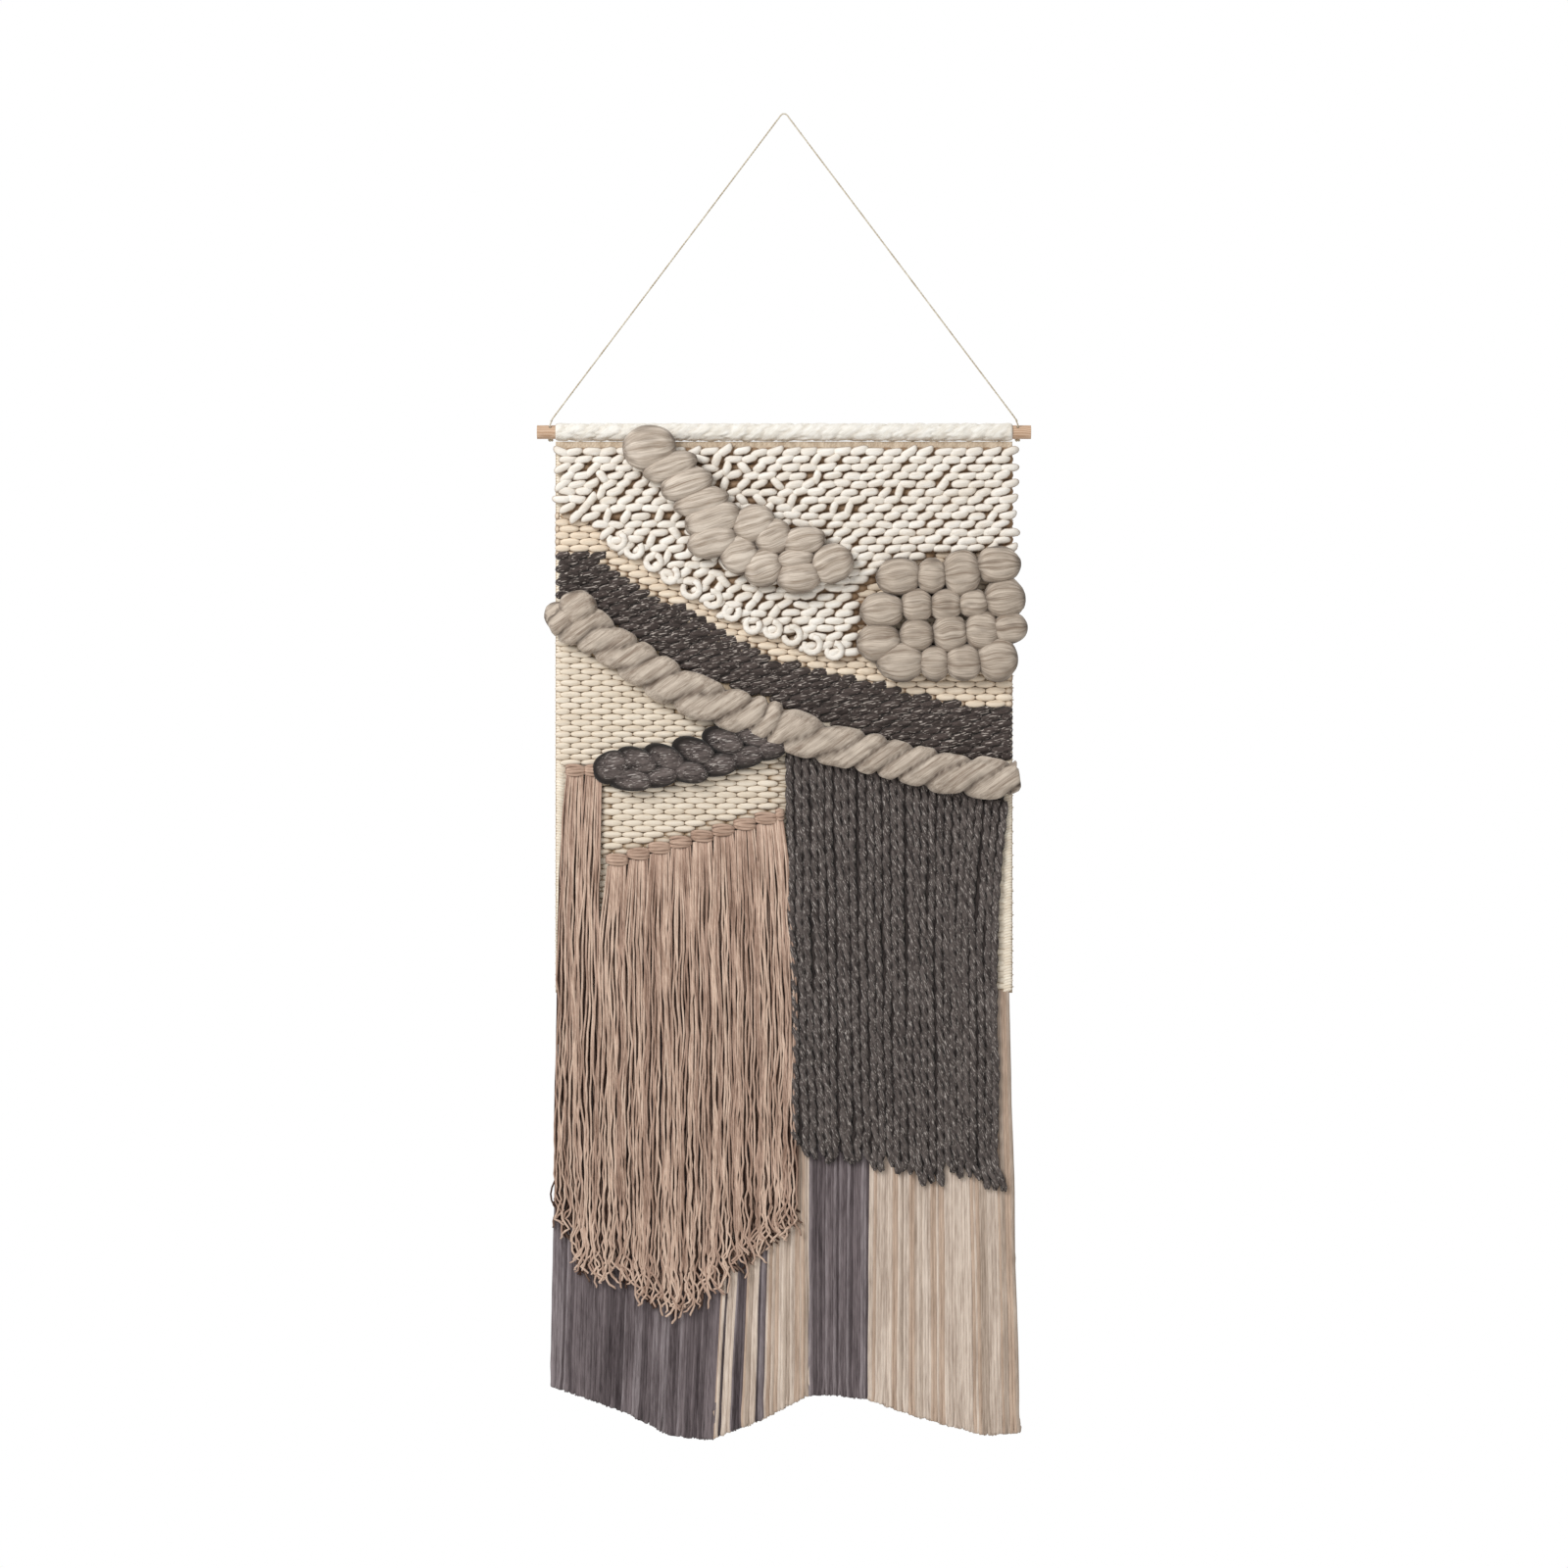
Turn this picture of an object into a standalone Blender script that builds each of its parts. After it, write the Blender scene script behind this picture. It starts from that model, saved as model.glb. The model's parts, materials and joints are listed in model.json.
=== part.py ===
"""Woven tapestry wall hanging on a wooden dowel, hung by a cord from one wall hook.

Metres, +Z up. The origin is where the cord passes over the hook, the front of the weaving
faces -Y and the wall is on the +Y side. Soft pieces are plain solids of the right size and place.
"""

import math

import bmesh
import bpy
from mathutils import Vector

# Overall sizes
CORD_RISE = 0.3275  # hook down to the dowel's axis
PANEL_WIDTH = 0.466  # woven width, selvedge to selvedge
WEAVE_DROP = 0.572  # dowel's axis down to the last woven row
BOTTOM_FRINGE_LENGTH = 0.456
ROSE_FRINGE_LENGTH = 0.464  # below the lowest rose knot
CHARCOAL_FRINGE_LENGTH = 0.383  # below the low end of its line of knots

# Dowel, its holes and the cord
DOWEL_RADIUS = 0.007
DOWEL_OVERHANG = 0.019  # bare wood past the weaving at each end
DOWEL_EDGE = 0.0004  # small break on the sawn edges
HOLE_INSET = 0.0135  # from the end of the dowel to the hole
HOLE_RADIUS = 0.0015
HOLE_SLANT = math.radians(45)  # each hole climbs from the back to the upper front
CORD_RADIUS = 0.0009
KNOT_RADIUS = 0.003

# Depths of the pieces, measured from back to front
GROUND_DEPTH = 0.0024
STITCH_DEPTH = 0.005
LOOP_DEPTH = 0.012
LEFT_PUFF_DEPTH = 0.022
RIGHT_PUFF_DEPTH = 0.024
SWEEP_DEPTH = 0.026
BRAID_DEPTH = 0.018
ROSE_KNOT_DEPTH = 0.009
ROSE_FRINGE_DEPTH = 0.008
CHARCOAL_FRINGE_DEPTH = 0.009

# Thicknesses seen from the front
WHIPPING_WALL = 0.002
SWEEP_RADIUS = 0.0205
BRAID_ROW_RADIUS = 0.0095
ROSE_KNOT_HEIGHT = 0.013
PUFF_WAIST = 0.72  # share of a puff's thickness where it is tied down
PUFF_END = 0.55  # share of it at the end of a row

# Clearances
GAP = 0.0003  # between pieces that touch
WHIPPING_CLEARANCE = 0.0003  # between the whipping and the dowel it turns on
BRAID_CLEARANCE = 0.001  # between the braid and the sweep above it
PIVOT_SHARE = 0.35  # a fringe pivots at this share of its depth, from the back

ROSE_SIDE_KNOTS = 2
ROSE_KNOTS = 9
CHARCOAL_GROUPS = 4

DOWEL_Z = -CORD_RISE
DOWEL_LENGTH = PANEL_WIDTH + 2 * DOWEL_OVERHANG
HOLE_X = DOWEL_LENGTH / 2 - HOLE_INSET
HOLE_DIRECTION = Vector((0, -math.sin(HOLE_SLANT), math.cos(HOLE_SLANT)))
WHIPPING_RADIUS = DOWEL_RADIUS + WHIPPING_CLEARANCE + WHIPPING_WALL
FACE_BACK = -GROUND_DEPTH / 2 - GAP  # where the pieces worked on the ground weave start

# The weaver's cartoon: the design in centimetres, across from the centre line and down from the
# dowel's axis, drawn for a panel of this half width and drop. The hems give a share of a fringe's length.
CARTOON_HALF_WIDTH = 23.3
CARTOON_DROP = 57.2
GROUND_TOP = 2.0
LOOP_TOP = 1.5
LOOP_TOP_BAND = 6.5
LOOP_LOWER_BAND = 12.2
LOOP_BULGE = 23.9
LOOP_STEP = 7.6  # where the loops end over the right puffs
LOOP_EDGE_LEFT = [(-23.9, 8.5), (-19.5, 8.8), (-16.8, 11.7), (-12.0, 14.7), (-8.4, 17.1),
                  (-3.1, 20.1), (0.3, 20.8), (2.3, 22.0), (7.6, 23.7)]
LOOP_EDGE_RIGHT = [(7.6, 16.5), (9.5, 15.0), (10.2, 13.2), (18.0, 12.2), (24.1, 12.2)]
STRIPE_TOP = [(-23.3, 12.6), (-18.4, 12.6), (-17.5, 13.9), (-12.4, 16.9), (-7.5, 19.6), (-4.1, 21.6),
              (-1.6, 22.9), (2.5, 24.2), (7.3, 25.3), (11.4, 26.1), (15.1, 27.2), (19.4, 28.0), (23.3, 27.9)]
SWEEP_LINE = [(-24.1, 18.9), (-23.0, 18.9), (-20.5, 19.4), (-18.0, 21.1), (-15.0, 23.1), (-12.0, 25.1),
              (-8.5, 27.1), (-5.0, 28.3), (-1.5, 29.5), (1.5, 30.9), (5.0, 32.1), (9.0, 33.0),
              (13.0, 34.1), (17.0, 35.0), (21.0, 35.6), (23.4, 35.5), (24.4, 35.4)]
BRAID_LINE = [(-18.1, 34.5), (-16.5, 34.5), (-12.7, 34.2), (-9.5, 33.6), (-6.1, 32.8), (-3.6, 32.6), (-1.2, 32.8)]
BRAID_SWELL = [0.45, 0.85, 1.0, 1.0, 0.95, 0.6, 0.35]
ROSE_SIDE_SPAN = (-22.2, -18.4)
ROSE_SIDE_LEVEL = 34.5
ROSE_LINE = [(-18.1, 43.9), (-0.1, 38.9)]
ROSE_PITCH = 2.17
ROSE_FOOT_SPAN = [(-22.2, -23.0), (-18.4, -19.1), (-18.1, -18.8), (-0.1, 0.8)]
ROSE_HEM = [(-23.0, 0.80), (-20.0, 0.93), (-16.7, 0.92), (-12.7, 0.99), (-10.7, 1.0), (-6.1, 0.93), (-2.8, 0.87),
            (0.9, 0.81)]
CHARCOAL_PIVOT_LINE = [(0.1, 33.9), (22.9, 39.4)]
CHARCOAL_FOOT = (0.95, 22.9)
CHARCOAL_HEM = [(0.95, 0.87), (2.9, 0.91), (10.5, 0.94), (15.8, 0.985), (18.1, 0.95), (22.9, 1.0)]
BOTTOM_BANDS = ["bottom_fringe_dark_left", "bottom_fringe_mixed", "bottom_fringe_dark_middle",
                "bottom_fringe_beige"]
BOTTOM_TOPS = [-22.9, -4.6, 2.5, 8.9, 22.9]
BOTTOM_FEET = [-23.7, -7.2, 2.6, 8.5, 23.9]
BOTTOM_HEM = [(-23.7, 0.88), (-16.0, 0.94), (-11.7, 0.99), (-7.6, 1.0), (-2.8, 0.96), (2.5, 0.90), (5.2, 0.90),
              (8.5, 0.91), (13.8, 0.95), (20.4, 0.99), (23.9, 0.985)]
LEFT_COLUMN = [(-13.5, 1.3), (-11.4, 3.2), (-9.8, 5.2), (-8.4, 7.3), (-7.4, 9.1), (-7.2, 11.1)]
LEFT_COLUMN_WIDTH = 4.9
LEFT_ROWS = {"left_puffs_upper_row": ([(-3.1, 9.3), (-0.6, 10.4), (2.1, 11.1)], 3.1),
             "left_puffs_lower_row": ([(-4.5, 12.7), (-1.9, 13.9), (1.4, 14.7), (5.0, 13.6)], 3.1)}
RIGHT_ROWS = {"right_puffs_row_1": ([(11.7, 14.8), (15.0, 14.7), (18.2, 14.4), (21.7, 13.7)], 3.2),
              "right_puffs_row_2": ([(10.0, 18.2), (13.5, 17.8), (16.5, 17.7), (19.3, 17.6), (22.5, 17.0)], 2.9),
              "right_puffs_row_3": ([(9.7, 21.4), (13.4, 20.9), (16.9, 20.7), (20.1, 20.5), (23.3, 20.1)], 2.8),
              "right_puffs_row_4": ([(12.2, 23.9), (15.3, 23.8), (18.4, 23.7), (21.7, 23.3)], 2.5)}

# The right half of the hanging cord, from its end in the back of the dowel up to the hook
CORD_POINTS = [(0.2385, 0.00495, -0.33245), (0.2385, 0.0, -0.3275), (0.2385, -0.00495, -0.32255),
               (0.2383, -0.0069, -0.3202), (0.2362, -0.0084, -0.3156), (0.2325, -0.0088, -0.3098),
               (0.1755, -0.0066, -0.2338), (0.1185, -0.0045, -0.1578), (0.0615, -0.0023, -0.0819),
               (0.0092, -0.0003, -0.0122), (0.0052, -0.0002, -0.0068), (0.0034, -0.0001, -0.0044),
               (0.0018, 0.0, -0.0030), (0.0, 0.0, -0.0026)]
CORD_STEPS = 3  # points of the tube for each stretch between two of these


def clear_scene():
    for obj in list(bpy.data.objects):
        bpy.data.objects.remove(obj)


def new_collection(name, shown=True):
    collection = bpy.data.collections.new(name)
    collection.hide_render = not shown
    bpy.context.scene.collection.children.link(collection)
    return collection


def material(name, colour, roughness):
    """A dull, unmetallic finish; every yarn and the wood are of this kind."""
    finish = bpy.data.materials.new(name)
    finish.use_nodes = True
    shader = finish.node_tree.nodes["Principled BSDF"]
    shader.inputs["Base Color"].default_value = (*colour, 1)
    shader.inputs["Roughness"].default_value = roughness
    shader.inputs["Metallic"].default_value = 0
    finish.diffuse_color = (*colour, 1)
    return finish


def add(name, data, finish, place=(0, 0, 0), pivot=None):
    """A named piece in the hanging's collection, with its finish, riding on its pivot."""
    piece = bpy.data.objects.new(name, data)
    hanging.objects.link(piece)
    data.materials.append(finish)
    piece.location = place
    if pivot:
        piece.parent = pivot
        piece.matrix_parent_inverse = pivot.matrix_world.inverted()
    return piece


def add_pivot(name, place, parent=None):
    pivot = bpy.data.objects.new(name, None)
    hanging.objects.link(pivot)
    pivot.empty_display_size = 0.03
    pivot.location = place
    if parent:
        pivot.parent = parent
        pivot.matrix_parent_inverse = parent.matrix_world.inverted()
    bpy.context.view_layer.update()
    return pivot


def across(value):
    return value / CARTOON_HALF_WIDTH * PANEL_WIDTH / 2


def level(value):
    return DOWEL_Z - value / CARTOON_DROP * WEAVE_DROP


def drawn(points):
    """Points of the cartoon as (x, z) on the real panel."""
    return [(across(x), level(down)) for x, down in points]


def height_at(line, x):
    """The height of a line that runs from left to right, straight on past its ends."""
    for (x0, z0), (x1, z1) in zip(line, line[1:]):
        if x <= x1 or (x1, z1) == line[-1]:
            return z0 + (z1 - z0) * (x - x0) / (x1 - x0)


def stretch(line, left, right):
    """The part of a line between two places, with its ends cut there."""
    inner = [point for point in line if left < point[0] < right]
    return [(left, height_at(line, left)), *inner, (right, height_at(line, right))]


def where_at(line, z):
    """The place where a line that falls to the right passes a height."""
    for (x0, z0), (x1, z1) in zip(line, line[1:]):
        if z1 <= z <= z0:
            return x0 + (x1 - x0) * (z0 - z) / (z0 - z1)


def shifted(line, distances):
    """A line moved square to itself by a distance for each of its points, upwards if positive."""
    moved = []
    for i, (x, z) in enumerate(line):
        before = Vector(line[max(i - 1, 0)])
        after = Vector(line[min(i + 1, len(line) - 1)])
        run = (after - before).normalized()
        moved.append((x - run.y * distances[i], z + run.x * distances[i]))
    return moved


def slab(name, outline, depth, finish, back=FACE_BACK, pivot=None):
    """A flat upright piece: an outline in (x, z), filled, and thick from its back towards -Y."""
    curve = bpy.data.curves.new(name, "CURVE")
    curve.dimensions = "2D"
    curve.fill_mode = "BOTH"
    curve.extrude = depth / 2
    spline = curve.splines.new("POLY")
    spline.points.add(len(outline) - 1)
    for point, (x, z) in zip(spline.points, outline):
        point.co = (x, z, 0, 1)
    spline.use_cyclic_u = True
    piece = add(name, curve, finish, (0, back - depth / 2, 0), pivot)
    piece.rotation_euler = (math.pi / 2, 0, 0)
    return piece


def field(name, top, bottom, span, depth, finish, back=FACE_BACK, pivot=None):
    """The slab between two lines, from one side to the other."""
    outline = stretch(bottom, *span) + stretch(top, *span)[::-1]
    return slab(name, outline, depth, finish, back, pivot)


def tube(name, points, radii, finish, squash=1, place=(0, 0, 0), pivot=None, sides=2):
    """A round piece of changing thickness along a line of points, flattened from front to back."""
    curve = bpy.data.curves.new(name, "CURVE")
    curve.dimensions = "3D"
    curve.bevel_depth = max(radii)
    curve.bevel_resolution = sides
    curve.use_fill_caps = True
    spline = curve.splines.new("POLY")
    spline.points.add(len(points) - 1)
    for point, place_of_point, radius in zip(spline.points, points, radii):
        point.co = (*place_of_point, 1)
        point.radius = radius / curve.bevel_depth
    piece = add(name, curve, finish, place, pivot)
    piece.scale.y = squash
    return piece


def roving(name, line, radii, depth, finish, back=FACE_BACK, pivot=None):
    """A fat roving laid on the face of the weaving along a line in (x, z)."""
    points = [(x, 0, z) for x, z in line]
    squash = depth / 2 / max(radii)
    return tube(name, points, radii, finish, squash, (0, back - depth / 2, 0), pivot, sides=3)


def puffs(name, centres, height, depth, finish, back, pivot):
    """A row of roving puffs, drawn in between each pair where the ground yarn ties them down."""
    line = []
    radii = []
    for i, centre in enumerate(centres):
        before = Vector(centres[max(i - 1, 0)])
        after = Vector(centres[min(i + 1, len(centres) - 1)])
        pitch = (after - before) / (2 if 0 < i < len(centres) - 1 else 1)
        for share, swell in ((-0.4, PUFF_WAIST), (0, 1.0), (0.4, PUFF_WAIST)):
            line.append(tuple(Vector(centre) + share * pitch))
            radii.append(height / 2 * swell)
    radii[0] = radii[-1] = height / 2 * PUFF_END
    return roving(name, line, radii, depth, finish, back, pivot)


def smooth_points(points, steps):
    """Points along a Catmull-Rom curve through the given ones."""
    points = [Vector(point) for point in points]
    ends = [2 * points[0] - points[1], *points, 2 * points[-1] - points[-2]]
    found = []
    for a, b, c, d in zip(ends, ends[1:], ends[2:], ends[3:]):
        for step in range(steps):
            t = step / steps
            found.append(
                b + 0.5 * t * ((c - a) + t * ((2 * a - 5 * b + 4 * c - d) + t * (3 * (b - c) + d - a)))
            )
    return [*found, points[-1]]


def turned_mesh(name, radius, length, sides, closed):
    """A cylinder along X, with or without its end faces."""
    shape = bmesh.new()
    bmesh.ops.create_cone(
        shape, cap_ends=closed, segments=sides, radius1=radius, radius2=radius, depth=length
    )
    mesh = bpy.data.meshes.new(name)
    shape.to_mesh(mesh)
    shape.free()
    mesh.shade_smooth()
    mesh.set_sharp_from_angle(angle=math.radians(40))
    return mesh


def make_dowel():
    dowel = add("dowel", turned_mesh("dowel", DOWEL_RADIUS, DOWEL_LENGTH, 48, True), wood, (0, 0, DOWEL_Z))
    dowel.rotation_euler = (0, math.pi / 2, 0)
    edge = dowel.modifiers.new("broken_edges", "BEVEL")
    edge.width = DOWEL_EDGE
    edge.segments = 2
    edge.limit_method = "ANGLE"
    for side in (-1, 1):
        drill = bpy.data.objects.new("drill", turned_mesh("drill", HOLE_RADIUS, 4 * DOWEL_RADIUS, 20, True))
        cutters.objects.link(drill)
        drill.hide_render = True
        drill.display_type = "WIRE"
        drill.location = (side * HOLE_X, 0, DOWEL_Z)
        drill.rotation_euler = (HOLE_SLANT, 0, 0)
        hole = dowel.modifiers.new("cord_hole", "BOOLEAN")
        hole.object = drill


def make_cord():
    half = smooth_points(CORD_POINTS, CORD_STEPS)
    other = [Vector((-point.x, point.y, point.z)) for point in half[:-1]]
    route = other + half[::-1]
    tube("hanging_cord", route, [CORD_RADIUS] * len(route), twine)


def make_cord_knots():
    for side, name in ((-1, "cord_knot_left"), (1, "cord_knot_right")):
        shape = bmesh.new()
        bmesh.ops.create_uvsphere(shape, u_segments=16, v_segments=10, radius=KNOT_RADIUS)
        mesh = bpy.data.meshes.new(name)
        shape.to_mesh(mesh)
        shape.free()
        mesh.shade_smooth()
        seat = Vector((side * HOLE_X, 0, DOWEL_Z))
        add(name, mesh, twine, seat - HOLE_DIRECTION * (DOWEL_RADIUS + GAP + KNOT_RADIUS))


def make_whipping(pivot):
    """The roving wound round the dowel, as one sleeve."""
    inner = DOWEL_RADIUS + WHIPPING_CLEARANCE
    sleeve = add("top_whipping", turned_mesh("top_whipping", inner, PANEL_WIDTH, 32, False), white_wool,
                 (0, 0, DOWEL_Z), pivot)
    sleeve.rotation_euler = (0, math.pi / 2, 0)
    wall = sleeve.modifiers.new("wall", "SOLIDIFY")
    wall.thickness = WHIPPING_WALL
    wall.offset = 1


def make_ground(pivot):
    """The header and the ground weave hang in one plane, straight below the dowel."""
    half = PANEL_WIDTH / 2
    back = GROUND_DEPTH / 2
    header_top = DOWEL_Z - WHIPPING_RADIUS - GAP
    joint = level(GROUND_TOP)
    for name, top, bottom, finish in (("header_band", header_top, joint + GAP, tan_cotton),
                                      ("ground_weave", joint, level(CARTOON_DROP), cream_cotton)):
        outline = [(-half, bottom), (half, bottom), (half, top), (-half, top)]
        slab(name, outline, GROUND_DEPTH, finish, back, pivot)


def sweep_edge(side):
    """The upper (1) or lower (-1) edge of the sweep band, where the fields beside it end."""
    return shifted(drawn(SWEEP_LINE), [side * (SWEEP_RADIUS + GAP)] * len(SWEEP_LINE))


def braid_middle():
    """The line between the braid's two rows, kept clear of the sweep where the two run together."""
    under_sweep = sweep_edge(-1)
    middle = []
    for (x, z), swell in zip(drawn(BRAID_LINE), BRAID_SWELL):
        highest = height_at(under_sweep, x) - 2 * BRAID_ROW_RADIUS * swell - BRAID_CLEARANCE
        middle.append((x, min(z, highest)))
    return middle


def rose_step():
    """How much higher each rose knot of the sloping line stands than the one before it."""
    (x0, z0), (x1, z1) = drawn(ROSE_LINE)
    return (z1 - z0) / (x1 - x0) * across(ROSE_PITCH)


def make_loop_pile(pivot):
    top = drawn([(-LOOP_BULGE, LOOP_TOP), (LOOP_BULGE, LOOP_TOP)])
    band = drawn([(-LOOP_BULGE, LOOP_TOP_BAND), (LOOP_BULGE, LOOP_TOP_BAND)])
    lower = drawn([(-LOOP_BULGE, LOOP_LOWER_BAND), (LOOP_BULGE, LOOP_LOWER_BAND)])
    left_edge = drawn(LOOP_EDGE_LEFT)
    side, step, other_side = across(-LOOP_BULGE), across(LOOP_STEP), across(LOOP_BULGE)
    crossing = where_at(left_edge, lower[0][1])
    left_bottom = stretch(left_edge, side, crossing) + [(step, lower[0][1])]
    below_band = [(x, z - GAP) for x, z in band]
    below_lower = [(x, z - GAP) for x, z in lower]
    field("loop_pile_top", top, band, (side, other_side), LOOP_DEPTH, white_wool, pivot=pivot)
    field("loop_pile_left", below_band, left_bottom, (side, step), LOOP_DEPTH, white_wool, pivot=pivot)
    field("loop_pile_lower", below_lower, left_edge, (crossing + 4 * GAP, step), LOOP_DEPTH, white_wool,
          pivot=pivot)
    field("loop_pile_right", below_band, drawn(LOOP_EDGE_RIGHT), (step + GAP, other_side), LOOP_DEPTH,
          white_wool, pivot=pivot)


def make_woven_fields(pivot):
    """The cream fields and the charcoal stripe share their edges with the loops, the sweep and the braid."""
    half = PANEL_WIDTH / 2
    step = across(LOOP_STEP)
    pile_edge = [(x, z - GAP) for x, z in drawn(LOOP_EDGE_LEFT)]
    right_edge = [(x, z - GAP) for x, z in drawn(LOOP_EDGE_RIGHT)]
    pile_edge += [(step + GAP, right_edge[0][1]), *right_edge[1:]]
    stripe_top = drawn(STRIPE_TOP)
    above_sweep = sweep_edge(1)
    below_sweep = sweep_edge(-1)
    braid = braid_middle()
    rows = [2 * BRAID_ROW_RADIUS * swell + 2 * GAP for swell in BRAID_SWELL]
    above_braid = shifted(braid, rows)
    below_braid = shifted(braid, [-row for row in rows])
    side_knots = level(ROSE_SIDE_LEVEL) + ROSE_KNOT_HEIGHT / 2 + GAP
    middle_bottom = [(-half, side_knots), (across(ROSE_SIDE_SPAN[1]) - GAP, side_knots), *above_braid]
    knot_tops = [(x, z + ROSE_KNOT_HEIGHT / 2 + rose_step() / 2 + GAP) for x, z in drawn(ROSE_LINE)]

    above_stripe = [(x, z + GAP) for x, z in stripe_top]
    field("cream_weave_upper", pile_edge, above_stripe, (-half, half), STITCH_DEPTH, cream_cotton, pivot=pivot)
    field("charcoal_stripe", stripe_top, above_sweep, (-half, half), STITCH_DEPTH, charcoal_tweed, pivot=pivot)
    field("cream_weave_middle", below_sweep, middle_bottom, (-half, across(-5.2)), STITCH_DEPTH, cream_cotton,
          pivot=pivot)
    field("cream_weave_lower", below_braid, knot_tops, (across(-18.0), across(-1.2)), STITCH_DEPTH,
          cream_cotton, pivot=pivot)


def make_rovings(pivot):
    sweep = drawn(SWEEP_LINE)
    swell = [0.5, 0.9, *[1.0] * (len(sweep) - 4), 0.95, 0.5]
    roving("sweep_band", sweep, [SWEEP_RADIUS * share for share in swell], SWEEP_DEPTH, taupe_roving,
           pivot=pivot)
    braid = braid_middle()
    for name, side in (("braid_upper_row", 1), ("braid_lower_row", -1)):
        row = shifted(braid, [side * (BRAID_ROW_RADIUS * share + GAP) for share in BRAID_SWELL])
        radii = [BRAID_ROW_RADIUS * share for share in BRAID_SWELL]
        roving(name, row, radii, BRAID_DEPTH, charcoal_tweed, pivot=pivot)


def make_puffs(pivot):
    """The left puffs stand on the loop pile, the right ones on the cream weave."""
    on_loops = FACE_BACK - LOOP_DEPTH - GAP
    on_weave = FACE_BACK - STITCH_DEPTH - GAP
    puffs("left_puffs_column", drawn(LEFT_COLUMN), across(LEFT_COLUMN_WIDTH), LEFT_PUFF_DEPTH, taupe_roving,
          on_loops, pivot)
    for name, (centres, height) in LEFT_ROWS.items():
        tall = height / CARTOON_DROP * WEAVE_DROP
        puffs(name, drawn(centres), tall, LEFT_PUFF_DEPTH, taupe_roving, on_loops, pivot)
    for name, (centres, height) in RIGHT_ROWS.items():
        tall = height / CARTOON_DROP * WEAVE_DROP
        puffs(name, drawn(centres), tall, RIGHT_PUFF_DEPTH, taupe_roving, on_weave, pivot)


def pivot_clearance(depth):
    """How far below what holds it a fringe starts, so that its front corner clears it as it swings."""
    return depth * (1 - PIVOT_SHARE) + GAP


def pivot_place(line, depth):
    x = (line[0][0] + line[-1][0]) / 2
    return (x, FACE_BACK - PIVOT_SHARE * depth, height_at(line, x))


def hem(points, top, length):
    return [(across(x), top - share * length) for x, share in points]


def tassel(name, top, foot_left, foot_right, hem_line, depth, finish, pivot):
    """A bundle of yarns from a short line of knots down to its own stretch of the hem."""
    outline = stretch(hem_line, foot_left, foot_right) + top[::-1]
    slab(name, outline, depth, finish, pivot=pivot)


def make_rose_fringe(panel_pivot):
    reach = ROSE_KNOT_HEIGHT / 2 + pivot_clearance(ROSE_FRINGE_DEPTH)
    line = drawn(ROSE_LINE)
    foot_line = [(across(x), across(x_below)) for x, x_below in ROSE_FOOT_SPAN]
    hem_line = hem(ROSE_HEM, line[0][1], ROSE_FRINGE_LENGTH)

    side_top = level(ROSE_SIDE_LEVEL) - reach
    left, right = across(ROSE_SIDE_SPAN[0]), across(ROSE_SIDE_SPAN[1])
    side_line = [(left, side_top), (right, side_top)]
    side_pivot = add_pivot("rose_side_fringe_pivot", pivot_place(side_line, ROSE_FRINGE_DEPTH), panel_pivot)
    side_pitch = (right - left) / ROSE_SIDE_KNOTS

    pitch = across(ROSE_PITCH)
    main_line = [(x, z - reach - rose_step() / 2) for x, z in line]
    main_pivot = add_pivot("rose_fringe_pivot", pivot_place(main_line, ROSE_FRINGE_DEPTH), panel_pivot)

    spans = [(left + i * side_pitch, left + (i + 1) * side_pitch, side_line, side_pivot)
             for i in range(ROSE_SIDE_KNOTS)]
    spans += [(line[0][0] + i * pitch, min(line[0][0] + (i + 1) * pitch, line[1][0]), main_line, main_pivot)
              for i in range(ROSE_KNOTS)]
    for i, (start, end, top_line, pivot) in enumerate(spans, 1):
        start, end = start + GAP / 2, end - GAP / 2
        middle = (start + end) / 2
        knot_level = level(ROSE_SIDE_LEVEL) if pivot == side_pivot else height_at(line, middle)
        top, bottom = knot_level + ROSE_KNOT_HEIGHT / 2, knot_level - ROSE_KNOT_HEIGHT / 2
        slab(f"rose_knot_{i:02d}", [(start, bottom), (end, bottom), (end, top), (start, top)],
             ROSE_KNOT_DEPTH, rose_wool, pivot=panel_pivot)
        tassel(f"rose_tassel_{i:02d}", stretch(top_line, start, end), height_at(foot_line, start) + GAP / 2,
               height_at(foot_line, end) - GAP / 2, hem_line, ROSE_FRINGE_DEPTH, rose_wool, pivot)


def make_charcoal_fringe(panel_pivot):
    line = drawn(CHARCOAL_PIVOT_LINE)
    hem_line = hem(CHARCOAL_HEM, line[1][1], CHARCOAL_FRINGE_LENGTH)
    pivot = add_pivot("charcoal_fringe_pivot", pivot_place(line, CHARCOAL_FRINGE_DEPTH), panel_pivot)
    foot_left, foot_right = across(CHARCOAL_FOOT[0]), across(CHARCOAL_FOOT[1])
    pitch = (line[1][0] - line[0][0]) / CHARCOAL_GROUPS
    foot_pitch = (foot_right - foot_left) / CHARCOAL_GROUPS
    for i in range(CHARCOAL_GROUPS):
        start, foot = line[0][0] + i * pitch, foot_left + i * foot_pitch
        tassel(f"charcoal_fringe_{i + 1}", stretch(line, start + GAP / 2, start + pitch - GAP / 2),
               foot + GAP / 2, foot + foot_pitch - GAP / 2, hem_line, CHARCOAL_FRINGE_DEPTH, charcoal_tweed,
               pivot)


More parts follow.
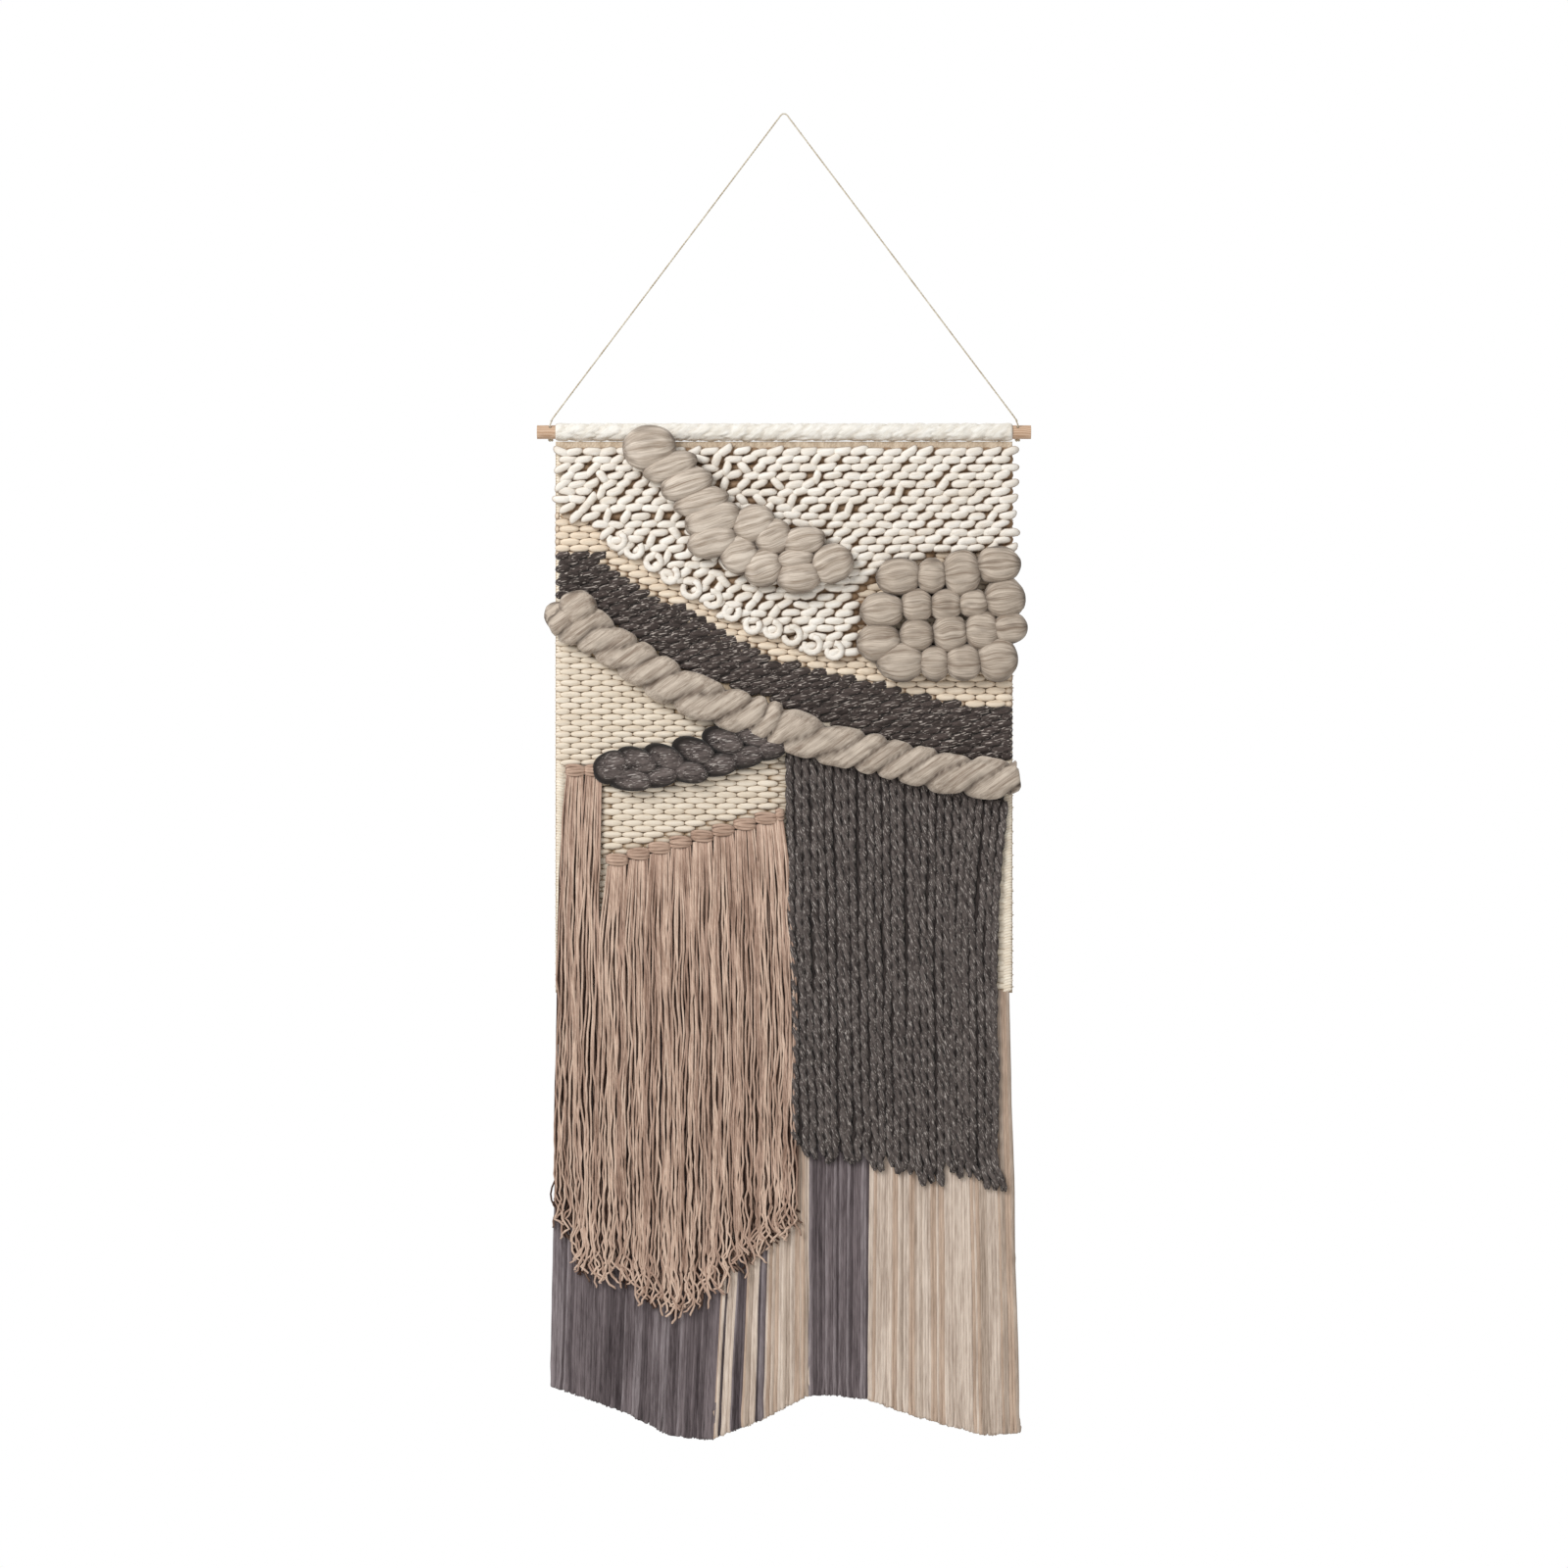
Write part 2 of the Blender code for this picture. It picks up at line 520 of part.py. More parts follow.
def make_bottom_fringe(pivot):
    top = level(CARTOON_DROP) - GAP
    hem_line = hem(BOTTOM_HEM, top, BOTTOM_FRINGE_LENGTH)
    finishes = (grey_cotton, mixed_cotton, grey_cotton, beige_cotton)
    for i, (name, finish) in enumerate(zip(BOTTOM_BANDS, finishes)):
        start, end = across(BOTTOM_TOPS[i]) + GAP / 2, across(BOTTOM_TOPS[i + 1]) - GAP / 2
        foot_start, foot_end = across(BOTTOM_FEET[i]) + GAP / 2, across(BOTTOM_FEET[i + 1]) - GAP / 2
        outline = stretch(hem_line, foot_start, foot_end) + [(end, top), (start, top)]
        slab(name, outline, GROUND_DEPTH, finish, GROUND_DEPTH / 2, pivot)


clear_scene()
hanging = new_collection("tapestry_wall_hanging")
cutters = new_collection("cutters", shown=False)
wood = material("pale_wood", (0.60, 0.42, 0.28), 0.6)
twine = material("natural_twine", (0.55, 0.50, 0.40), 0.9)
white_wool = material("white_wool", (0.86, 0.83, 0.77), 0.9)
tan_cotton = material("tan_cotton", (0.55, 0.45, 0.34), 0.95)
cream_cotton = material("cream_cotton", (0.80, 0.74, 0.63), 0.95)
charcoal_tweed = material("charcoal_tweed", (0.085, 0.07, 0.065), 0.95)
taupe_roving = material("taupe_roving", (0.45, 0.36, 0.29), 0.95)
rose_wool = material("rose_wool", (0.40, 0.26, 0.20), 0.95)
grey_cotton = material("grey_cotton", (0.14, 0.11, 0.115), 0.95)
mixed_cotton = material("mixed_cotton", (0.38, 0.30, 0.27), 0.95)
beige_cotton = material("beige_cotton", (0.52, 0.42, 0.35), 0.95)

make_dowel()
make_cord()
make_cord_knots()
panel = add_pivot("panel_pivot", (0, 0, DOWEL_Z))
make_whipping(panel)
make_ground(panel)
make_loop_pile(panel)
make_woven_fields(panel)
make_rovings(panel)
make_puffs(panel)
make_rose_fringe(panel)
make_charcoal_fringe(panel)
make_bottom_fringe(panel)
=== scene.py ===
"""The looks of a woven tapestry wall hanging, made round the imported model.

Metres, +Z up. The front of the weaving faces -Y and the wall is on the +Y side. The cord passes
over its hook at the origin.
"""

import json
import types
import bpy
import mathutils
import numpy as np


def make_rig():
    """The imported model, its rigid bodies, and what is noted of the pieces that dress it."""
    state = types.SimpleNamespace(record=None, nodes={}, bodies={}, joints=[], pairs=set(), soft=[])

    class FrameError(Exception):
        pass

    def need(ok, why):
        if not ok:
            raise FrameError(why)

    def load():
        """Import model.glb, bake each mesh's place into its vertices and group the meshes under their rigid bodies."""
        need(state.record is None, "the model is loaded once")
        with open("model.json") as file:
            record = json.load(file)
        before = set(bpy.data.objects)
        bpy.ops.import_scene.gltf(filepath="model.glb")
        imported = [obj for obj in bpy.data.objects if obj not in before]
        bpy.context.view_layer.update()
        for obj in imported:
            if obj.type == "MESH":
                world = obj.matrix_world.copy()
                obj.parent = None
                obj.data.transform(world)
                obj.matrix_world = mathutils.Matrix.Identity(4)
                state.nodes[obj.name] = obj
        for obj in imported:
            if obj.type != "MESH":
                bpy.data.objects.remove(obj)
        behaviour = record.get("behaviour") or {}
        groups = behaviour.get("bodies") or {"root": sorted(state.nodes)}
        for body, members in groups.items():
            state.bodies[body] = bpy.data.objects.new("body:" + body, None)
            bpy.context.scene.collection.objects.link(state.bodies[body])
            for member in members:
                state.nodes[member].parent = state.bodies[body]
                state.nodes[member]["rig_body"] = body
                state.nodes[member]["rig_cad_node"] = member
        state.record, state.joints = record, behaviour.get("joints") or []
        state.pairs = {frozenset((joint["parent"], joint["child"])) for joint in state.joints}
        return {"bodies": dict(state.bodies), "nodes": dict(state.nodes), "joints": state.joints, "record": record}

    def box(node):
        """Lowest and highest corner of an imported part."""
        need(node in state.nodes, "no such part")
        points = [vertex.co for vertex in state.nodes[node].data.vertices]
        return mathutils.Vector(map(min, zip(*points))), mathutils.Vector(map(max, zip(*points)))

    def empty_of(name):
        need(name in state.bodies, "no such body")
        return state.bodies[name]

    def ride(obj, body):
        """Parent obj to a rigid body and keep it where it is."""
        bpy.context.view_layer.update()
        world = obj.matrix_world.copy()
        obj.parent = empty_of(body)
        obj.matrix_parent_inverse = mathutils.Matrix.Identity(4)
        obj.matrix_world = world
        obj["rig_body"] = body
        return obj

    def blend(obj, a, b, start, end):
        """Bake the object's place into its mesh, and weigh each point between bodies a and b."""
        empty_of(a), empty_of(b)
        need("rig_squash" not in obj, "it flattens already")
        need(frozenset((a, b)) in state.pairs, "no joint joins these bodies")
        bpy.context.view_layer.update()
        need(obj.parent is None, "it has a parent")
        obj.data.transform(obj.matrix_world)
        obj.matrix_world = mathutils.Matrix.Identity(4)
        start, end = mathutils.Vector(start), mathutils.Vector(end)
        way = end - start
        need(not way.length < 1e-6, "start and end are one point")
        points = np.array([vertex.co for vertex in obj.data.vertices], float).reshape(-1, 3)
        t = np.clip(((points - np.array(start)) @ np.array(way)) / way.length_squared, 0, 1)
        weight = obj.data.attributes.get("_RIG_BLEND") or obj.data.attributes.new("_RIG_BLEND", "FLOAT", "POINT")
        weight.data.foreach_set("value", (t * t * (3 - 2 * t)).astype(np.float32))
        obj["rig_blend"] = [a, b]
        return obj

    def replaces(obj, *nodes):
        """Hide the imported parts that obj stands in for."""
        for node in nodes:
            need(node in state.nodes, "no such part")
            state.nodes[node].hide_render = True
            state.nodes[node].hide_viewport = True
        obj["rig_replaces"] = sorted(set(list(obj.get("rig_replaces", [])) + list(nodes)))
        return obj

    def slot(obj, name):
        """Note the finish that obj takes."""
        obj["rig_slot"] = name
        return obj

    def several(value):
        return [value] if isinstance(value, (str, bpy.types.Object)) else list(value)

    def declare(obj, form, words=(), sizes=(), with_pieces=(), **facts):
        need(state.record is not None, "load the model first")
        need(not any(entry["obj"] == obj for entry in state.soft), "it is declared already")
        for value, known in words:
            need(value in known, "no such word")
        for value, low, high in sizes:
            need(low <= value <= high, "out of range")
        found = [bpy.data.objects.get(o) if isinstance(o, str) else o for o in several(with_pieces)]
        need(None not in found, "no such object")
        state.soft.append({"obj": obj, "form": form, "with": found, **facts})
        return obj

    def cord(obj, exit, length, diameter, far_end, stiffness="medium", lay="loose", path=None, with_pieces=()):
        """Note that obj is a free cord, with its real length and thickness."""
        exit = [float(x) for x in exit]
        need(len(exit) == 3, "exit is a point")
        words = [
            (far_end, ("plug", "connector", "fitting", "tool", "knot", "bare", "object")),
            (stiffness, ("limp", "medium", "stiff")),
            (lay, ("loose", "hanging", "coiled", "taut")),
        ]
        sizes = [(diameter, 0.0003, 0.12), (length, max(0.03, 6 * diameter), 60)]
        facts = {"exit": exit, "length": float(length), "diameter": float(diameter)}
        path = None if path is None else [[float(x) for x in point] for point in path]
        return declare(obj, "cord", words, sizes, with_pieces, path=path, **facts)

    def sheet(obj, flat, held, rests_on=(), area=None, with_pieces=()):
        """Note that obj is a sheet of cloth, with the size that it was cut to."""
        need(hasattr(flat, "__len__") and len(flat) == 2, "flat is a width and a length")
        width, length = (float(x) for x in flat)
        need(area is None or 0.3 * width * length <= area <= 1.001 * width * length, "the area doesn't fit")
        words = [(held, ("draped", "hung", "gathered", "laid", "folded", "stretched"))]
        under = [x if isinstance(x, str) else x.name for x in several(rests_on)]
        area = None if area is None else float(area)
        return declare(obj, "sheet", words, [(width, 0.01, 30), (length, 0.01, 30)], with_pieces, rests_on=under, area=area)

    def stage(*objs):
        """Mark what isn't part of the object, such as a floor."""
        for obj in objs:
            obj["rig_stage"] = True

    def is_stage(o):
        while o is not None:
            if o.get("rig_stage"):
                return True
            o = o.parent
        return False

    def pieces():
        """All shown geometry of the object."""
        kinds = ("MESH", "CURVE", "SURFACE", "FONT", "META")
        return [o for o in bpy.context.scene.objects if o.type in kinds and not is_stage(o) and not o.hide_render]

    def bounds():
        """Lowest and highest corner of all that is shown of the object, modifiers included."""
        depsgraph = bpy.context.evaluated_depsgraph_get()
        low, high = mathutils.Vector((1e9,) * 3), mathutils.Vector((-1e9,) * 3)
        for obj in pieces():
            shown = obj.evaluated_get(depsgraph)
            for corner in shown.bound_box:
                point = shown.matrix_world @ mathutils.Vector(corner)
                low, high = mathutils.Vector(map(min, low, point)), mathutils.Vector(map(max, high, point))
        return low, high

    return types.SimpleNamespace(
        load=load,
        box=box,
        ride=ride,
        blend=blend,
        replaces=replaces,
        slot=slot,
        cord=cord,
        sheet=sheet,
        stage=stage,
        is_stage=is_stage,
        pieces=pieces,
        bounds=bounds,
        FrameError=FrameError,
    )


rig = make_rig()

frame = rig.load()
CAD_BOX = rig.bounds()

import json
import math
import random

import bmesh
import bpy
from mathutils import Matrix, Vector, noise
from mathutils.bvhtree import BVHTree

# ---------------------------------------------------------------- camera, light and floor
# The hanging is seen square on, from far enough away to look flat. The light is a big soft window
# high on the left with a bright room round it, and the floor is pale and plain.

VIEW_CENTRE = Vector((0, 0, -0.6865))
VIEW_WIDTH = 1.6
VIEW_DISTANCE = 6.0
ROOM_GLOW = 0.58
FLOOR_Z = -2.2
FLOOR_RADIUS = 2.2
# Each lamp: its place, the side of its square and its watts
LAMPS = {"window": ((-2.0, -2.6, 1.3), 1.6, 88),
         "wall_bounce": ((1.6, 3.2, 0.6), 2.5, 60)}


def tint(red, green, blue):
    """A dyer's colour, given in 0 to 255, as the linear colour that a shader takes."""
    parts = [value / 255 for value in (red, green, blue)]
    return (*[part / 12.92 if part < 0.04 else ((part + 0.055) / 1.055) ** 2.4 for part in parts], 1)


def node(tree, kind, sockets=(), **settings):
    """Adds a node to a tree. Each socket is given a value, or the output that feeds it."""
    made = tree.nodes.new(kind)
    for key, value in settings.items():
        setattr(made, key, value)
    for key, value in dict(sockets).items():
        if isinstance(value, bpy.types.NodeSocket):
            tree.links.new(value, made.inputs[key])
        else:
            made.inputs[key].default_value = value
    return made


def shown(name, data):
    """Puts a mesh, camera or lamp in the scene as an object at the origin."""
    made = bpy.data.objects.new(name, data)
    bpy.context.scene.collection.objects.link(made)
    return made


scene = bpy.context.scene
scene.view_settings.view_transform = "Standard"
camera = shown("camera", bpy.data.cameras.new("camera"))
camera.data.sensor_width = 36
camera.data.lens = camera.data.sensor_width * VIEW_DISTANCE / VIEW_WIDTH
camera.location = VIEW_CENTRE - Vector((0, VIEW_DISTANCE, 0))
camera.rotation_euler = (math.pi / 2, 0, 0)
scene.camera = camera

# The camera sees plain white behind the hanging, and only the dimmer glow lights it.
room = bpy.data.worlds.new("bright_room")
room.use_nodes = True
room_tree = room.node_tree
room_tree.nodes.clear()
glow = node(room_tree, "ShaderNodeBackground", {"Color": (1, 1, 1, 1), "Strength": ROOM_GLOW})
paper = node(room_tree, "ShaderNodeBackground", {"Color": (1, 1, 1, 1), "Strength": 1.0})
seen = node(room_tree, "ShaderNodeLightPath")
both = node(room_tree, "ShaderNodeMixShader", {0: seen.outputs["Is Camera Ray"], 1: glow.outputs[0],
                                               2: paper.outputs[0]})
node(room_tree, "ShaderNodeOutputWorld", {"Surface": both.outputs[0]})
scene.world = room

for name, (place, size, watts) in LAMPS.items():
    lamp = bpy.data.lights.new(name, "AREA")
    lamp.size = size
    lamp.energy = watts
    lit = shown(name, lamp)
    lit.location = place
    lit.rotation_euler = (VIEW_CENTRE - Vector(place)).to_track_quat("-Z", "Y").to_euler()

disc = bmesh.new()
bmesh.ops.create_circle(disc, cap_ends=True, segments=96, radius=FLOOR_RADIUS)
floor_mesh = bpy.data.meshes.new("floor")
disc.to_mesh(floor_mesh)
disc.free()
floor_mesh.transform(Matrix.Translation((0, 0, FLOOR_Z)))
floor = shown("floor", floor_mesh)
plaster = bpy.data.materials.new("pale_plaster")
plaster.use_nodes = True
plaster_shader = plaster.node_tree.nodes["Principled BSDF"]
mottle = node(plaster.node_tree, "ShaderNodeTexNoise", {"Scale": 3.0, "Detail": 4.0})
pale = node(plaster.node_tree, "ShaderNodeMix", {"Factor": mottle.outputs["Fac"], "A": tint(236, 234, 230),
                                                 "B": tint(226, 224, 220)}, data_type="RGBA")
plaster.node_tree.links.new(pale.outputs["Result"], plaster_shader.inputs["Base Color"])
plaster_shader.inputs["Roughness"].default_value = 0.8
floor.data.materials.append(plaster)
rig.stage(floor)

# ---------------------------------------------------------------- hanging cord and its end knots
# A limp two-ply cotton twine, tied off behind each end of the dowel. It comes through a slanted hole
# and runs straight up to the hook, the weight of the weaving pulling it tight.

CORD_DIAMETER = 0.0018
PLY_RADIUS = 0.0006
CORD_LAY = 0.0062  # length of one whole twist
TWIST_POINTS = 6  # points for each twist of a ply

# Right half of the route, from the end in the back of the dowel up to the hook
CORD_POINTS = [(0.2385, 0.00495, -0.33245), (0.2385, 0.0, -0.3275), (0.2385, -0.00495, -0.32255),
               (0.2383, -0.0069, -0.3202), (0.2362, -0.0084, -0.3156), (0.2325, -0.0088, -0.3098),
               (0.1755, -0.0066, -0.2338), (0.1185, -0.0045, -0.1578), (0.0615, -0.0023, -0.0819),
               (0.0092, -0.0003, -0.0122), (0.0052, -0.0002, -0.0068), (0.0034, -0.0001, -0.0044),
               (0.0018, 0.0, -0.0030), (0.0, 0.0, -0.0026)]
CORD_STEPS = 3


def smooth_points(points, steps):
    """Points along a Catmull-Rom curve through the given ones."""
    points = [Vector(point) for point in points]
    ends = [2 * points[0] - points[1], *points, 2 * points[-1] - points[-2]]
    found = []
    for a, b, c, d in zip(ends, ends[1:], ends[2:], ends[3:]):
        for step in range(steps):
            t = step / steps
            found.append(b + 0.5 * t * ((c - a) + t * ((2 * a - 5 * b + 4 * c - d)
                                                       + t * (3 * (b - c) + d - a))))
    return [*found, points[-1]]


def evenly(route, spacing):
    """Points at an even spacing along a route."""
    total = sum((b - a).length for a, b in zip(route, route[1:]))
    count = max(2, round(total / spacing))
    found = [route[0].copy()]
    walked = 0.0
    for a, b in zip(route, route[1:]):
        run = (b - a).length
        while len(found) < count and walked + run >= len(found) * total / count:
            found.append(a.lerp(b, (len(found) * total / count - walked) / run))
        walked += run
    return [*found, route[-1].copy()]


def twisted(route, radius, lay, phase, points_per_twist=TWIST_POINTS):
    """The path of one ply that winds round a route, falling to the right as seen from the front."""
    path = evenly(route, lay / points_per_twist)
    found = []
    for i, place in enumerate(path):
        along = (path[min(i + 1, len(path) - 1)] - path[max(i - 1, 0)]).normalized()
        side = along.cross(Vector((0, 1, 0))).normalized()
        out = side.cross(along)
        turn = phase + 2 * math.pi * i / points_per_twist
        found.append(place + radius * (math.cos(turn) * side + math.sin(turn) * out))
    return found


def spun(name, yarns, roundness=1):
    """One mesh of round yarns. Each is (route, radius or radii, number of its finish)."""
    curve = bpy.data.curves.new(name, "CURVE")
    curve.dimensions = "3D"
    curve.bevel_depth = 1
    curve.bevel_resolution = roundness
    curve.use_fill_caps = True
    for _ in range(1 + max(finish for _, _, finish in yarns)):
        curve.materials.append(None)
    for route, radii, finish in yarns:
        spline = curve.splines.new("POLY")
        spline.points.add(len(route) - 1)
        spline.points.foreach_set("co", [value for place in route for value in (*place, 1)])
        spline.points.foreach_set("radius", radii if isinstance(radii, list) else [radii] * len(route))
        spline.material_index = finish
    curve_piece = shown(name, curve)
    mesh = bpy.data.meshes.new_from_object(curve_piece.evaluated_get(bpy.context.evaluated_depsgraph_get()))
    bpy.data.objects.remove(curve_piece)
    shape = bmesh.new()
    shape.from_mesh(mesh)
    bmesh.ops.remove_doubles(shape, verts=shape.verts, dist=1e-6)
    return solid(name, shape, mesh)


def solid(name, shape, mesh=None):
    """A smooth-shaded piece from a finished bmesh. Each point keeps its place and facing at rest."""
    mesh = mesh or bpy.data.meshes.new(name)
    mesh.materials.clear()
    shape.to_mesh(mesh)
    shape.free()
    mesh.name = name
    mesh.shade_smooth()
    places = [value for vertex in mesh.vertices for value in vertex.co]
    mesh.attributes.new("laid", "FLOAT_VECTOR", "POINT").data.foreach_set("vector", places)
    facings = [value for vertex in mesh.vertices for value in vertex.normal]
    mesh.attributes.new("faced", "FLOAT_VECTOR", "POINT").data.foreach_set("vector", facings)
    return shown(name, mesh)


def new_group(name, inputs, outputs):
    """An empty shader node group with named sockets; gives the tree and its two end nodes."""
    group = bpy.data.node_groups.new(name, "ShaderNodeTree")
    for label, kind, value in inputs:
        made = group.interface.new_socket(label, in_out="INPUT", socket_type=kind)
        if value is not None:
            made.default_value = value
    for label, kind in outputs:
        group.interface.new_socket(label, in_out="OUTPUT", socket_type=kind)
    return group, group.nodes.new("NodeGroupInput"), group.nodes.new("NodeGroupOutput")


# Fibres: fine streaks that run along the yarn, at a tilt seen from the front.
FIBRES, fibre_in, fibre_out = new_group(
    "fibres",
    [("Place", "NodeSocketVector", None), ("Tilt", "NodeSocketVector", (0, 0, 0)),
     ("Fineness", "NodeSocketVector", (60, 700, 700))],
    [("Streak", "NodeSocketFloat"), ("Clump", "NodeSocketFloat")])
turned = node(FIBRES, "ShaderNodeVectorRotate", {"Vector": fibre_in.outputs["Place"],
                                                 "Rotation": fibre_in.outputs["Tilt"]},
              rotation_type="EULER_XYZ")
drawn_out = node(FIBRES, "ShaderNodeVectorMath", {0: turned.outputs[0], 1: fibre_in.outputs["Fineness"]},
                 operation="MULTIPLY")
hairs = node(FIBRES, "ShaderNodeTexNoise", {"Vector": drawn_out.outputs[0], "Scale": 1.0, "Detail": 3.0,
                                            "Roughness": 0.65})
wisps = node(FIBRES, "ShaderNodeTexNoise", {"Vector": drawn_out.outputs[0], "Scale": 0.22, "Detail": 1.0})
FIBRES.links.new(hairs.outputs["Fac"], fibre_out.inputs["Streak"])
FIBRES.links.new(wisps.outputs["Fac"], fibre_out.inputs["Clump"])

# Painted shade: yarn that lies deep in the weaving, in a crease, or turned away beside its neighbour is
# painted darker and browner than yarn at the face, in place of the shade that falls there. The backs of
# yarns keep their own colour.
PAINTED_SHADE, painted_shade_in, painted_shade_out = new_group(
    "painted_shade",
    [("Colour", "NodeSocketColor", None), ("Shade", "NodeSocketColor", None),
     ("Place", "NodeSocketVector", None), ("Face", "NodeSocketFloat", -0.006),
     ("Root", "NodeSocketFloat", -0.002), ("CreaseShade", "NodeSocketFloat", 0.0),
     ("Rim", "NodeSocketFloat", 0.0)],
    [("Colour", "NodeSocketColor")])
depth_parts = node(PAINTED_SHADE, "ShaderNodeSeparateXYZ", {0: painted_shade_in.outputs["Place"]})
depth_share = node(PAINTED_SHADE, "ShaderNodeMapRange",
                   {"Value": depth_parts.outputs["Y"], "From Min": painted_shade_in.outputs["Face"],
                    "From Max": painted_shade_in.outputs["Root"], "To Min": 0.0, "To Max": 1.0},
                   interpolation_type="SMOOTHSTEP")
faced = node(PAINTED_SHADE, "ShaderNodeAttribute", attribute_name="faced")
facing = node(PAINTED_SHADE, "ShaderNodeSeparateXYZ", {0: faced.outputs["Vector"]})
square_on = node(PAINTED_SHADE, "ShaderNodeMath", {0: facing.outputs["Y"]}, operation="ABSOLUTE")
rim_share = node(PAINTED_SHADE, "ShaderNodeMapRange",
                 {"Value": square_on.outputs[0], "From Min": 0.10, "From Max": 0.62,
                  "To Min": painted_shade_in.outputs["Rim"], "To Max": 0.0})
not_behind = node(PAINTED_SHADE, "ShaderNodeMapRange",
                  {"Value": facing.outputs["Y"], "From Min": 0.15, "From Max": 0.6,
                   "To Min": 1.0, "To Max": 0.0})
sunk_share = node(PAINTED_SHADE, "ShaderNodeMath", {0: depth_share.outputs[0], 1: not_behind.outputs[0]},
                  operation="MULTIPLY")
inner_share = node(PAINTED_SHADE, "ShaderNodeMath", {0: sunk_share.outputs[0], 1: painted_shade_in.outputs["CreaseShade"]},
                   operation="MAXIMUM")
shade_share = node(PAINTED_SHADE, "ShaderNodeMath", {0: inner_share.outputs[0], 1: rim_share.outputs[0]},
               operation="MAXIMUM")
sunk = node(PAINTED_SHADE, "ShaderNodeMix", {"Factor": shade_share.outputs[0], "A": painted_shade_in.outputs["Colour"],
                                      "B": painted_shade_in.outputs["Shade"]}, data_type="RGBA")
PAINTED_SHADE.links.new(sunk.outputs["Result"], painted_shade_out.inputs["Colour"])


def yarn_finish(name, pale, dark, fineness, shade_colour=None, face=-0.006, root=-0.002, tilt=0.0,
                contrast=(0.36, 0.64), relief=0.0006, fleck=None, laid=None, crease_shades=False, rim=0.0):
    """Spun or combed fibre: streaks between two shades, and pale flecks. Given a shade colour, it is
    painted towards it, as painted shade, where the yarn lies deep, turns its side away or has a
    painted crease.

    face and root are where that painted shade starts and is full, from the wall, and rim is how dark
    it gets on the turned sides. laid names the attribute that the streaks follow, if it isn't the
    place where the yarn now is.
    """
    finish = bpy.data.materials.new(name)
    finish.use_nodes = True
    tree = finish.node_tree
    shader = tree.nodes["Principled BSDF"]
    stands = node(tree, "ShaderNodeTexCoord").outputs["Object"]
    place = node(tree, "ShaderNodeAttribute", attribute_name=laid).outputs["Vector"] if laid else stands
    fibres = node(tree, "ShaderNodeGroup", {"Place": place, "Tilt": (0, tilt, 0), "Fineness": fineness},
                  node_tree=FIBRES)
    streaks = node(tree, "ShaderNodeMath", {0: fibres.outputs["Streak"], 1: 0.55}, operation="MULTIPLY")
    mixed = node(tree, "ShaderNodeMath", {0: fibres.outputs["Clump"], 1: 0.45, 2: streaks.outputs[0]},
                 operation="MULTIPLY_ADD")
    share = node(tree, "ShaderNodeMapRange", {"Value": mixed.outputs[0], "From Min": contrast[0],
                                              "From Max": contrast[1]})
    colour = node(tree, "ShaderNodeMix", {"Factor": share.outputs[0], "A": dark, "B": pale},
                  data_type="RGBA").outputs["Result"]
    if fleck:
        turned_place = node(tree, "ShaderNodeVectorRotate",
                            {"Vector": place, "Rotation": (0, tilt, 0)}, rotation_type="EULER_XYZ")
        speck_place = node(tree, "ShaderNodeVectorMath", {0: turned_place.outputs[0], 1: fineness},
                           operation="MULTIPLY")
        specks = node(tree, "ShaderNodeTexNoise", {"Vector": speck_place.outputs[0], "Scale": 0.9,
                                                   "Detail": 1.0})
        where = node(tree, "ShaderNodeMapRange", {"Value": specks.outputs["Fac"], "From Min": 0.61,
                                                  "From Max": 0.67})
        colour = node(tree, "ShaderNodeMix", {"Factor": where.outputs[0], "A": colour, "B": fleck},
                      data_type="RGBA").outputs["Result"]
    # Painted shade: deeper yarn, turned sides and creases are mixed towards the shade colour.
    if shade_colour:
        painted_shade = node(tree, "ShaderNodeGroup",
                      {"Colour": colour, "Shade": shade_colour, "Place": place if laid == "laid" else stands,
                       "Face": face, "Root": root, "Rim": rim}, node_tree=PAINTED_SHADE)
        if crease_shades:
            crease_shade = node(tree, "ShaderNodeAttribute", attribute_name="crease_shade")
            tree.links.new(crease_shade.outputs["Fac"], painted_shade.inputs["CreaseShade"])
        colour = painted_shade.outputs["Colour"]
    tree.links.new(colour, shader.inputs["Base Color"])
    bump = node(tree, "ShaderNodeBump", {"Height": mixed.outputs[0], "Strength": 0.6, "Distance": relief})
    tree.links.new(bump.outputs["Normal"], shader.inputs["Normal"])
    shader.inputs["Roughness"].default_value = 0.92
    shader.inputs["Specular IOR Level"].default_value = 0.2
    shader.inputs["Sheen Weight"].default_value = 0.15
    shader.inputs["Sheen Roughness"].default_value = 0.5
    return finish


def fitted(piece, body, slot, finishes, nodes=()):
    """Gives a piece its finishes, the body it rides on, its slot, and the plain solids it stands for."""
    for finish in finishes if isinstance(finishes, list) else [finishes]:
        piece.data.materials.append(finish)
    if body:
        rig.ride(piece, body)
    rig.slot(piece, slot)
    if nodes:
        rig.replaces(piece, *nodes)
    return piece


twine = yarn_finish("twine", tint(222, 214, 196), tint(176, 160, 134), fineness=(500, 900, 500))
half_route = smooth_points(CORD_POINTS, CORD_STEPS)
cord_route = [Vector((-place.x, place.y, place.z)) for place in half_route[:-1]] + half_route[::-1]
cord_plies = [(twisted(cord_route, CORD_DIAMETER / 2 - PLY_RADIUS, CORD_LAY, turn), PLY_RADIUS, 0)
              for turn in (0, math.pi)]
cord = fitted(spun("twine_cord", cord_plies), "hanger", "natural_twine", twine, ["hanging_cord"])

